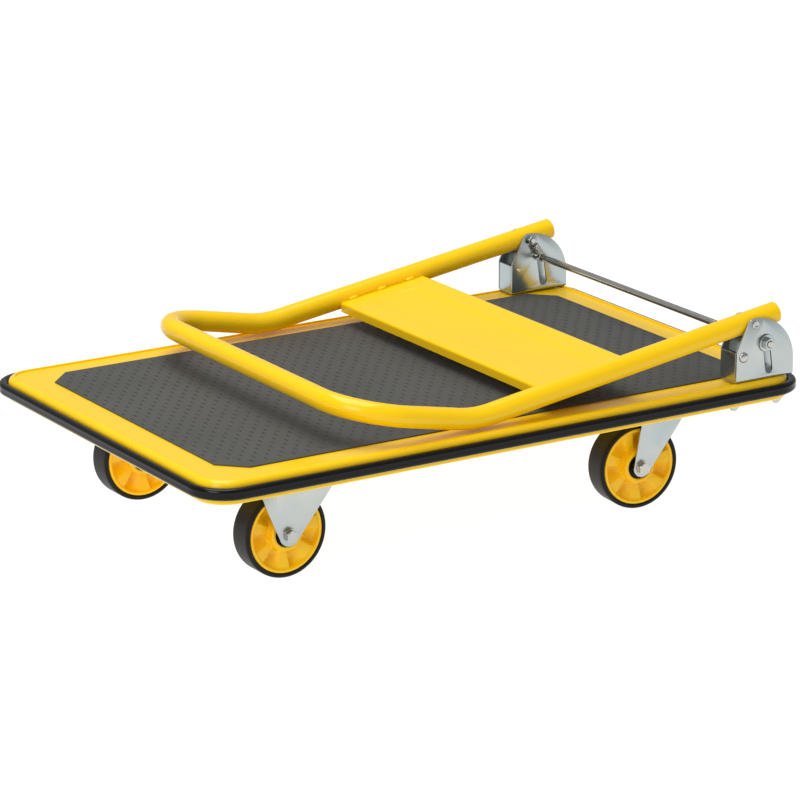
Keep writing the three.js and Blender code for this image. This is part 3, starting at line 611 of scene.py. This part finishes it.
bright_steel = new_finish("bright_steel", (0.56, 0.56, 0.53), (0.42, 0.43, 0.42), 0.002, metallic=1.0,
                          tint_scale=40.0, tint_amount=0.5, grain_scale=500.0, stretch=(6, 1, 6), roughness=0.18,
                          roughness_spread=0.12)


def turned(profile, sides=48, closed=False):
    """A piece turned about Z: a circle drawn along the (radius, height) points, each ring scaled to its radius."""
    bpy.ops.object.select_all(action="DESELECT")
    radius, height = profile[0]
    bpy.ops.mesh.primitive_circle_add(vertices=sides, radius=max(radius, TINY), location=(0, 0, height))
    edit()
    bpy.ops.mesh.select_all(action="SELECT")
    for next_radius, next_height in profile[1:] + profile[:1] * closed:
        extrude(0, 0, next_height - height)
        scale = max(next_radius, TINY) / max(radius, TINY)
        bpy.ops.transform.resize(value=(scale, scale, 1), center_override=(0, 0, next_height))
        radius, height = next_radius, next_height
    bpy.ops.mesh.select_all(action="SELECT")
    bpy.ops.mesh.remove_doubles(threshold=AXIS_MERGE)
    bpy.ops.mesh.normals_make_consistent(inside=False)
    close_edit()
    bpy.ops.object.transform_apply(location=True, rotation=True, scale=True)
    return bpy.context.object


def stood(piece, place, way):
    """Moves a turned piece so that its axis runs the given way from the place."""
    piece.data.transform(Matrix.Translation(place) @ Vector(way).to_track_quat("Z", "Y").to_matrix().to_4x4())
    return piece


def copied(piece):
    """A copy of a piece with its own mesh."""
    copy = piece.copy()
    copy.data = piece.data.copy()
    bpy.context.collection.objects.link(copy)
    return copy


def hexagon(flats, height, bore=0.0):
    """A hexagon with chamfered corners, standing on z = 0."""
    corner = flats / math.sqrt(3)
    piece = turned([(0, 0), (corner, 0), (corner, height), (0, height)], 6)
    rim = corner * 1.02
    dome = turned([(0, 0), (corner * 0.92, 0), (rim, height * 0.14), (rim, height * 0.84),
                   (corner * 0.9, height), (0, height)])
    combine(piece, dome, "INTERSECT")
    if bore:
        combine(piece, turned([(0, -0.001), (bore, -0.001), (bore, height + 0.001), (0, height + 0.001)], 32),
                "DIFFERENCE")
    modify(piece, "BEVEL", width=0.00018, segments=2, limit_method="ANGLE", angle_limit=math.radians(25))
    return piece


def thread(radius, start, stop, pitch=0.00125):
    """Profile points of a rolled thread along a shank."""
    turns = int((stop - start) / pitch)
    return [point for turn_number in range(turns) for point in (
        (radius, start + turn_number * pitch), (radius - 0.0006, start + (turn_number + 0.5) * pitch))]


for side, way in (("left", -1), ("right", 1)):
    low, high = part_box(f"{side}_hinge_bracket")
    outer = high.y if way > 0 else low.y
    for number in (1, 2):
        head_low, head_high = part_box(f"{side}_bracket_bolt_{number}")
        nut_low, nut_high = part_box(f"{side}_dome_nut_{number}")
        middle = (nut_low + nut_high) / 2
        bolt = turned([(0, head_low.z), (0.0026, head_low.z), (0.003, head_low.z + 0.0005),
                       (0.003, head_high.z - 0.0035), (0.0055, head_high.z - 0.0035), (0.0055, head_high.z - 0.0014),
                       (0.0036, head_high.z), (0, head_high.z)], 32)
        settle(stood(bolt, (middle.x, middle.y, 0), (0, 0, 1)), f"{side}_base_bolt_{number}", zinc_plate, "base",
               "zinc", f"{side}_bracket_bolt_{number}")
        cap = weld(hexagon(0.0115, 0.0062), turned([(0, 0.004), (0.0046, 0.004), (0.0046, 0.0066), (0.0041, 0.0082),
                                                   (0.0028, 0.0095), (0.0012, 0.0101), (0, 0.0102)]),
                   turned([(0, -0.0001), (0.0075, -0.0001), (0.0078, 0.0005), (0.0075, 0.0013), (0.0058, 0.0020),
                           (0, 0.0020)]))
        settle(stood(cap, (middle.x, middle.y, nut_high.z), (0, 0, -1)), f"{side}_cap_nut_{number}", zinc_plate,
               "base", "zinc", f"{side}_dome_nut_{number}")
    for pin, radius, head in (
        ("pivot_pin", 0.0034, [(0.0047, 0), (0.0049, 0.0006), (0.0042, 0.0013), (0.0030, 0.0014), (0.0022, 0.0008),
                               (0, 0.0007)]),
        ("stop_pin", 0.0029, [(0.0060, 0), (0.0060, 0.0006), (0.0053, 0.0018), (0.0036, 0.0026), (0.0016, 0.0029),
                              (0, 0.0030)]),
    ):
        pin_low, pin_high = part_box(f"{side}_{pin}")
        seat = abs(outer) + 0.0003
        start = (pin_low.y if way > 0 else pin_high.y)
        shank = abs(seat - abs(start))
        body = turned([(0, 0), (radius * 0.8, 0), (radius, 0.0006), (radius, shank)]
                      + [(r, shank + h) for r, h in head], 40)
        settle(stood(body, ((pin_low.x + pin_high.x) / 2, start, (pin_low.z + pin_high.z) / 2), (0, way, 0)),
               f"{side}_peened_{pin}", bright_steel, "base", "steel", f"{side}_{pin}", sharp=40)

# ---- Tube plugs ----
# A ribbed push-in plug of black plastic closes each open end of the handle tube.
plug_black = new_finish("plug_plastic", (0.014, 0.014, 0.014), (0.03, 0.03, 0.03), 0.03, tint_scale=60.0,
                        tint_amount=0.4, grain_scale=900.0, roughness=0.5, roughness_spread=0.15)
for side, way in (("left", -1), ("right", 1)):
    inside = TUBE_RADIUS - TUBE_WALL - 0.0003
    ribs = [point for rib in range(4) for point in ((inside - 0.0007, -0.013 + rib * 0.003),
                                                    (inside, -0.0125 + rib * 0.003), (inside, -0.0115 + rib * 0.003))]
    plug = turned([(0, -0.014), (inside - 0.001, -0.014)] + ribs + [
        (inside, 0.0002), (TUBE_RADIUS - 0.0012, 0.0002), (TUBE_RADIUS - 0.0013, 0.0006),
        (TUBE_RADIUS - 0.0028, 0.0012), (TUBE_RADIUS - 0.005, 0.0014), (0, 0.0014)])
    end = pivot - down_run * STUB + across * way * tube_y
    settle(stood(plug, end, -down_run), f"{side}_end_plug", plug_black, "handle", "plug_plastic", f"{side}_tube_plug")

# ---- Lock bar and latch springs ----
# An 8 mm bar runs through all four bracket legs. A washer and a hex nut hold each end, and a coil spring
# at each side hangs from the pivot pin and pulls the bar up its slots.
WASHER_RADIUS = 0.0100
WASHER_THICKNESS = 0.0016
COIL_RADIUS = 0.0035
COIL_WIRE = 0.0008
COIL_TURNS = 8

half = bar_high.y
bar_end = [(0, 0), (0.0032, 0), (0.0038, 0.0006)] + thread(0.0039, 0.0008, 0.0170)
other_end = [(radius, 2 * half - height) for radius, height in reversed(bar_end)]
bar = turned(bar_end + [(0.004, 0.0175), (0.004, 2 * half - 0.0175)] + other_end, 40)
settle(stood(bar, (bar_x, -half, bar_z), (0, 1, 0)), "lock_rod", bright_steel, "lock", "steel", "lock_bar", sharp=40)

lock_hexagon = hexagon(0.013, 0.006, 0.0041)
for side, way in (("left", -1), ("right", 1)):
    washer_low, washer_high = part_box(f"{side}_lock_washer")
    seat = min(abs(washer_low.y), abs(washer_high.y))
    washer = turned([(0.0043, 0), (0.0096, 0), (WASHER_RADIUS, 0.0004), (WASHER_RADIUS, 0.0012),
                     (0.0096, WASHER_THICKNESS), (0.0043, WASHER_THICKNESS)], closed=True)
    settle(stood(washer, (bar_x, way * seat, bar_z), (0, way, 0)), f"{side}_bar_washer", zinc_plate, "lock", "zinc",
           f"{side}_lock_washer")
    nut_low, nut_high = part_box(f"{side}_lock_nut")
    seat = min(abs(nut_low.y), abs(nut_high.y))
    settle(stood(copied(lock_hexagon), (bar_x, way * seat, bar_z), (0, way, 0)), f"{side}_bar_nut", zinc_plate, "lock",
           "zinc", f"{side}_lock_nut")

    spring_y = (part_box(f"{side}_latch_spring")[0].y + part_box(f"{side}_latch_spring")[1].y) / 2
    top, foot = Vector((pivot.x, spring_y, pivot.z)), Vector((bar_x, spring_y, bar_z))
    span = (foot - top).length
    coil_length = span - 0.0145
    bpy.ops.object.select_all(action="DESELECT")
    bpy.ops.mesh.primitive_circle_add(vertices=8, radius=COIL_WIRE, location=(COIL_RADIUS, 0, 0),
                                      rotation=(math.pi / 2, 0, 0))
    coil = bpy.context.object
    bpy.ops.object.transform_apply(location=True, rotation=True, scale=True)
    modify(coil, "SCREW", screw_offset=coil_length / COIL_TURNS, iterations=COIL_TURNS, steps=20, render_steps=20,
           use_normal_calculate=True)
    coil.data.transform(Matrix.Translation((0, 0, 0.0068)))
    hooks = []
    for height, radius in ((0, 0.0042), (span, 0.0048)):
        bpy.ops.object.select_all(action="DESELECT")
        bpy.ops.mesh.primitive_torus_add(major_radius=radius, minor_radius=COIL_WIRE, major_segments=28,
                                         minor_segments=8, location=(0, 0, height), rotation=(math.pi / 2, 0, 0))
        bpy.ops.object.transform_apply(location=True, rotation=True, scale=True)
        hooks.append(bpy.context.object)
    for height, length in ((0.0042, 0.0030), (span - 0.0082, 0.0036)):
        hooks.append(turned([(0, height), (COIL_WIRE, height), (COIL_WIRE, height + length), (0, height + length)], 8))
    weld(coil, *hooks)
    edit()
    bpy.ops.mesh.select_all(action="SELECT")
    bpy.ops.mesh.normals_make_consistent(inside=False)
    close_edit()
    lean = math.atan2(foot.x - top.x, top.z - foot.z)
    coil.data.transform(Matrix.Translation(top) @ Matrix.Rotation(math.pi - lean, 4, "Y"))
    coil.name = coil.data.name = f"{side}_coil_spring"
    bpy.ops.object.shade_smooth()
    coil.data.materials.append(bright_steel)
    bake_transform(coil)
    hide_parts(f"{side}_latch_spring")

# ---- Caster forks and plates ----
# Forks pressed from 2.5 mm zinc plated sheet. The front pair is fixed to its plates and stiffened by a
# folded front edge. The rear pair turns on a ball race and a kingpin. Four bolts hold each plate up.
FORK_SHEET = 0.0025
FORK_BEND = 0.005
PLATE_CORNER = 0.006
PLATE_BOLT_X, PLATE_BOLT_Y = 0.043, 0.031
FORK_OUTER = 0.0221
RIGID_TOP_BEND = 0.0042
RIGID_CREASE = -0.016
CREASE_BEND = 0.0028
RIGID_FLAP = {5.8: (-16.3, 0.05), 12: (-18.7, 0.9), 42: (-29.6, 5.0), 51: (-30.5, 13), 75.2: (-36.7, 21.5)}
wheel_low, wheel_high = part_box("front_left_tyre")
wheel_radius = (wheel_high.z - wheel_low.z) / 2


def fork_leg(outline, plane, flap):
    """A fork: legs at y = plane either side, tops folded in to the middle, and a flap folded in along each crease."""
    bpy.ops.object.select_all(action="DESELECT")
    bpy.ops.mesh.primitive_circle_add(vertices=len(outline), fill_type="NGON")
    leg = bpy.context.object
    for vertex, (x, z) in zip(leg.data.vertices, outline):
        vertex.co = (x, plane, z)
    top = max(z for x, z in outline)
    edit()
    select("EDGE", flat_edge(top))
    extrude(0, -plane, 0)
    select("EDGE", lambda edge: len(edge.link_faces) == 2 and edge.calc_face_angle(0) > 1)
    bpy.ops.mesh.bevel(offset=RIGID_TOP_BEND if flap else FORK_BEND, segments=5, clamp_overlap=True)
    on_crease = lambda edge: all(abs(end.co.x - RIGID_CREASE) < 1e-5 and abs(end.co.y - plane) < 1e-5
                                 for end in edge.verts)
    if flap:
        select("EDGE", on_crease)
        extrude(-0.003, 0, 0)
        shape = bmesh.from_edit_mesh(leg.data)
        for vertex in shape.verts:
            if vertex.select:
                x, inward = flap[min(flap, key=lambda z: abs(z / 1000 - vertex.co.z))]
                vertex.co.x, vertex.co.y = x / 1000, plane - inward / 1000
        bmesh.update_edit_mesh(leg.data)
        select("EDGE", on_crease)
        bpy.ops.mesh.bevel(offset=CREASE_BEND, segments=4, clamp_overlap=True)
    bpy.ops.mesh.select_all(action="SELECT")
    bpy.ops.mesh.normals_make_consistent(inside=False)
    if max(bmesh.from_edit_mesh(leg.data).faces, key=lambda face: face.calc_area()).normal.y < 0:
        bpy.ops.mesh.flip_normals()
    close_edit()
    modify(leg, "MIRROR", use_axis=(False, True, False), use_mirror_merge=True, merge_threshold=0.0001)
    modify(leg, "SOLIDIFY", thickness=FORK_SHEET, offset=-1)
    modify(leg, "BEVEL", width=0.0003, segments=2, limit_method="ANGLE", angle_limit=math.radians(60))
    return leg


def plate(low, high):
    """A flat plate with rounded corners and softened edges."""
    piece = sheet(low.x, high.x, low.y, high.y, low.z, PLATE_CORNER, 6)
    bpy.ops.mesh.select_all(action="SELECT")
    extrude(0, 0, high.z - low.z)
    select("EDGE", lambda edge: edge.is_boundary)
    bpy.ops.mesh.edge_face_add()
    bpy.ops.mesh.select_all(action="SELECT")
    bpy.ops.mesh.normals_make_consistent(inside=False)
    close_edit()
    modify(piece, "BEVEL", width=0.0004, segments=2, limit_method="ANGLE", angle_limit=math.radians(60))
    return piece


plate_hexagon = hexagon(0.013, 0.0052)
axle_hexagon = hexagon(0.013, 0.0055)


def plate_bolts(middle, under):
    """Four bolt heads with washers under a caster plate."""
    heads = []
    for x in (-PLATE_BOLT_X, PLATE_BOLT_X):
        for y in (-PLATE_BOLT_Y, PLATE_BOLT_Y):
            ring = turned([(0, 0), (0.0078, 0), (0.0080, 0.0004), (0.0078, 0.0012), (0, 0.0012)], 32)
            head = copied(plate_hexagon)
            head.data.transform(Matrix.Translation((0, 0, 0.0012)))
            heads.append(stood(weld(ring, head), (middle.x + x, middle.y + y, under), (0, 0, -1)))
    return weld(*heads)


rigid_outline = [(x / 1000, z / 1000) for x, z in (
    arc(0, 0, 12.5, 197, 332, 12)
    + [(53.1, 46.2), (60.5, 54.6), (62.5, 60), (62.5, 75.2)] + [(-16, z) for z in sorted(RIGID_FLAP, reverse=True)])]
for side, way in (("left", -1), ("right", 1)):
    low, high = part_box(f"front_{side}_fork")
    wheel_low, wheel_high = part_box(f"front_{side}_tyre")
    axle = (wheel_low + wheel_high) / 2
    fork = fork_leg(rigid_outline, FORK_OUTER, RIGID_FLAP)
    fork.data.transform(Matrix.Translation(axle))
    top_plate = plate(Vector((low.x, low.y, high.z - FORK_SHEET)), high)
    middle = (low + high) / 2
    weld(fork, top_plate)
    settle(fork, f"front_{side}_pressed_fork", zinc_plate, "base", "zinc", f"front_{side}_fork")
    settle(plate_bolts(middle, high.z - FORK_SHEET), f"front_{side}_plate_bolts", zinc_plate, "base",
           "zinc")

SWIVEL_YAW = math.radians(-5)
race_low, race_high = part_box("rear_left_ball_race")
swivel_outline = [(x / 1000, z / 1000) for x, z in (
    arc(-31, 50, 10.8, 188, 322, 12)
    + [(18.3, 98.4), (21.5, 104), (21.5, 115.4), (-32.2, 115.4), (-32.8, 98.5)])]
for side, way in (("left", -1), ("right", 1)):
    low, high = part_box(f"rear_{side}_swivel_plate")
    middle = (low + high) / 2
    turned_to = Matrix.Translation((middle.x, middle.y, 0)) @ Matrix.Rotation(SWIVEL_YAW, 4, "Z")
    fork = fork_leg(swivel_outline, FORK_OUTER, {})
    crown = turned([(0.0066, race_low.z - 0.0030), (0.0245, race_low.z - 0.0030), (0.0262, race_low.z - 0.0022),
                    (0.0268, race_low.z - 0.0006), (0.0262, race_low.z - 0.0002), (0.0066, race_low.z - 0.0002)],
                   closed=True)
    weld(fork, crown)
    fork.data.transform(turned_to)
    settle(fork, f"rear_{side}_pressed_fork", zinc_plate, f"rear_{side}_swivel", "zinc", f"rear_{side}_fork")
    settle(plate(low, high), f"rear_{side}_top_plate", zinc_plate, "base", "zinc", f"rear_{side}_swivel_plate")
    settle(plate_bolts(middle, low.z), f"rear_{side}_plate_bolts", zinc_plate, "base", "zinc")
    tall = race_high.z - race_low.z
    race = turned([(0.0085, 0), (0.0215, 0), (0.0245, 0.0006), (0.0262, 0.0022), (0.0266, 0.0040), (0.0258, 0.0046),
                   (0.0258, 0.0052), (0.0268, 0.0060), (0.0262, 0.0078), (0.0240, 0.0091), (0.0215, tall),
                   (0.0085, tall)], closed=True)
    settle(stood(race, (middle.x, middle.y, race_low.z), (0, 0, 1)), f"rear_{side}_race_ring", zinc_plate, "base",
           "zinc", f"rear_{side}_ball_race")
    pin_low, pin_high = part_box(f"rear_{side}_kingpin")
    king = turned([(0, 0), (0.0075, 0), (0.0095, 0.0012), (0.0099, 0.0030), (0.0094, 0.0048), (0.0060, 0.0050),
                   (0.0060, pin_high.z - pin_low.z), (0, pin_high.z - pin_low.z)])
    settle(stood(king, (middle.x, middle.y, pin_low.z), (0, 0, 1)), f"rear_{side}_riveted_kingpin", bright_steel,
           "base", "steel", f"rear_{side}_kingpin")

# ---- Wheels ----
# A black rubber tyre bonded to a moulded yellow hub. The hub's face has seven ribs with sloped pockets
# between them, and a black seal ring closes each end of its boss. It runs on a steel bush, and an axle bolt
# and nut clamp the bush in the fork.
HUB_RIBS = 7
SEAT_GAP = 0.0002
RIB_STEPS = 8
POCKET_DEPTH = 0.0084
POCKET_SHAPE = (0, 0, 0, 0, 1.0, 1.0, 0.8, 0.45)

tyre_black = new_finish("tyre_rubber", (0.007, 0.006, 0.005), (0.017, 0.014, 0.012), 0.03, specular=0.2,
                        tint_scale=14.0, tint_amount=0.5, grain_scale=500.0, roughness=0.42, roughness_spread=0.2)
hub_yellow = new_finish("hub_moulding", (1.0, 0.62, 0.0), (0.90, 0.40, 0.0), 0.02, specular=0.45, tint_scale=30.0,
                        tint_amount=0.4, grain_scale=700.0, roughness=0.36, roughness_spread=0.12)

half_width = (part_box("front_left_tyre")[1].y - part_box("front_left_tyre")[0].y) / 2
rim_radius = wheel_radius - 0.005
shoulder = [(wheel_radius - 0.0026 * (1 - math.sin(a)), half_width - 0.0001 - 0.0026 * (1 - math.cos(a)))
            for a in (step * math.pi / 12 for step in range(7))]
upper = [(rim_radius, half_width - 0.0008), (rim_radius + 0.0007, half_width - 0.0001),
         (rim_radius + 0.0018, half_width)] + shoulder + [(wheel_radius, half_width - 0.006)]
master_tyre = turned(upper + [(radius, -height) for radius, height in reversed(upper)], 128, closed=True)

hub_face = [(0.0446, 0.0142), (0.0440, 0.0149), (0.0416, 0.0149), (0.0410, 0.0142), (0.0402, 0.0126), (0.0340, 0.0119),
            (0.0280, 0.0108), (0.0225, 0.0096), (0.0205, 0.0092), (0.0196, 0.0110), (0.0192, 0.0165), (0.0186, 0.0172),
            (0.0152, 0.0172), (0.0146, 0.0165), (0.0144, 0.0125), (0.0072, 0.0125)]
master_hub = turned(hub_face + [(radius, -height) for radius, height in reversed(hub_face)], HUB_RIBS * RIB_STEPS,
                    closed=True)
for vertex in master_hub.data.vertices:
    radius = math.hypot(vertex.co.x, vertex.co.y)
    if 0.0215 < radius < 0.0405:
        sector = round(math.atan2(vertex.co.y, vertex.co.x) / math.tau * HUB_RIBS * RIB_STEPS) % RIB_STEPS
        sector = sector if vertex.co.z > 0 else (11 - sector) % RIB_STEPS
        edge_fade = 0.55 if radius > 0.039 or radius < 0.024 else 1.0
        vertex.co.z -= math.copysign(POCKET_DEPTH * POCKET_SHAPE[sector] * edge_fade, vertex.co.z)
modify(master_hub, "BEVEL", width=0.0003, segments=2, limit_method="ANGLE", angle_limit=math.radians(28))
washer_ring = [(0.0045, 0), (0.0078, 0), (0.0080, 0.0003), (0.0078, 0.0010), (0.0045, 0.0010)]

for wheel in ("front_left", "front_right", "rear_left", "rear_right"):
    way = -1 if "left" in wheel else 1
    low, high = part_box(f"{wheel}_hub")
    middle = (low + high) / 2
    yaw = SWIVEL_YAW if "rear" in wheel else 0.0
    axle_way = Vector((-math.sin(yaw), math.cos(yaw), 0)) * way
    holder = f"{wheel}_swivel" if "rear" in wheel else "base"
    settle(stood(copied(master_tyre), middle, axle_way), f"{wheel}_rubber_tyre", tyre_black, f"{wheel}_wheel",
           "tyre_rubber", f"{wheel}_tyre", sharp=40)
    settle(stood(copied(master_hub), middle, axle_way), f"{wheel}_moulded_hub", hub_yellow, f"{wheel}_wheel",
           "hub_plastic", f"{wheel}_hub", sharp=24)
    for face in (-1, 1):
        seal = turned([(0.0084, 0.0127), (0.0142, 0.0127), (0.0142, 0.0146), (0.0136, 0.0150), (0.0088, 0.0150),
                       (0.0084, 0.0146)], closed=True)
        settle(stood(seal, middle, axle_way * face), f"{wheel}_{'outer' if face > 0 else 'inner'}_seal", tyre_black,
               f"{wheel}_wheel", "tyre_rubber")
    bush = turned([(0.0044, -0.0193), (0.0062, -0.0193), (0.0065, -0.0189), (0.0065, 0.0189), (0.0062, 0.0193),
                   (0.0044, 0.0193)], closed=True)
    settle(stood(bush, middle, axle_way), f"{wheel}_steel_bush", bright_steel, holder, "steel", f"{wheel}_axle_bush")
    seat = FORK_OUTER + SEAT_GAP
    shank = [(0, -seat - 0.0088), (0.0033, -seat - 0.0088), (0.0038, -seat - 0.0082)]
    shank += thread(0.0039, -seat - 0.0080, -seat + 0.0040) + [(0.0040, -seat + 0.0045), (0.0040, seat + 0.002),
                                                              (0, seat + 0.002)]
    head = copied(axle_hexagon)
    head.data.transform(Matrix.Translation((0, 0, seat + 0.0010)))
    outer_washer = turned(washer_ring, 40, closed=True)
    outer_washer.data.transform(Matrix.Translation((0, 0, seat)))
    settle(stood(weld(turned(shank, 32), head, outer_washer), middle, axle_way), f"{wheel}_hex_bolt", bright_steel,
           holder, "zinc", f"{wheel}_axle_bolt")
    nut = copied(lock_hexagon)
    inner_washer = turned(washer_ring, 40, closed=True)
    nut.data.transform(Matrix.Translation((0, 0, 0.0010)))
    settle(stood(weld(nut, inner_washer), middle - axle_way * seat, -axle_way), f"{wheel}_hex_nut", zinc_plate, holder,
           "zinc", f"{wheel}_axle_nut")
for template in (master_tyre, master_hub, lock_hexagon, plate_hexagon, axle_hexagon):
    bpy.data.objects.remove(template)

# ---- Studio ----
# A plain pale floor that meets a white room, broad soft lights, and the camera.
CAMERA_AIM = Vector((-0.0533, -0.0881, 0.1460))
CAMERA_BACK = Vector((-0.5122, -0.8087, 0.2891))
CAMERA_DISTANCE = 4.4175
CAMERA_LENS = 178.94

bpy.ops.object.select_all(action="DESELECT")
bpy.ops.mesh.primitive_plane_add(size=14, location=(0, 0, 0))
floor = bpy.context.object
floor.name = "studio_floor"
pale_floor = new_finish("pale_floor", (0.12, 0.12, 0.12), (0.11, 0.11, 0.11), 0.02, specular=0.1, tint_scale=2.0,
                        tint_amount=0.2, grain_scale=60.0, roughness=0.8, roughness_spread=0.05)
pale_floor.node_tree.nodes["Principled BSDF"].inputs["Emission Color"].default_value = (1, 1, 1, 1)
pale_floor.node_tree.nodes["Principled BSDF"].inputs["Emission Strength"].default_value = 0.98
floor.data.materials.append(pale_floor)

world = bpy.data.worlds.new("white_room")
bpy.context.scene.world = world
world.use_nodes = True
world.node_tree.nodes["Background"].inputs["Color"].default_value = (1, 1, 1, 1)
world.node_tree.nodes["Background"].inputs["Strength"].default_value = 0.42


def softbox(name, place, aim, size, power):
    light = bpy.data.lights.new(name, "AREA")
    light.shape = "RECTANGLE"
    light.size, light.size_y = size
    light.energy = power
    lamp = bpy.data.objects.new(name, light)
    lamp.location = place
    lamp.rotation_euler = (Vector(place) - Vector(aim)).to_track_quat("Z", "Y").to_euler()
    bpy.context.collection.objects.link(lamp)


softbox("overhead_softbox", (-0.3, 0.3, 2.6), (0, 0, 0.1), (2.4, 1.6), 50)
softbox("left_softbox", (-2.4, -1.2, 1.4), (0, 0, 0.1), (1.2, 1.6), 24)

camera = bpy.data.objects.new("camera", bpy.data.cameras.new("camera"))
camera.data.lens = CAMERA_LENS
camera.data.sensor_width = 36
camera.data.clip_end = 40
camera.location = CAMERA_AIM + CAMERA_BACK.normalized() * CAMERA_DISTANCE
camera.rotation_euler = CAMERA_BACK.to_track_quat("Z", "Y").to_euler()
bpy.context.collection.objects.link(camera)
bpy.context.scene.camera = camera
bpy.context.scene.view_settings.view_transform = "Standard"
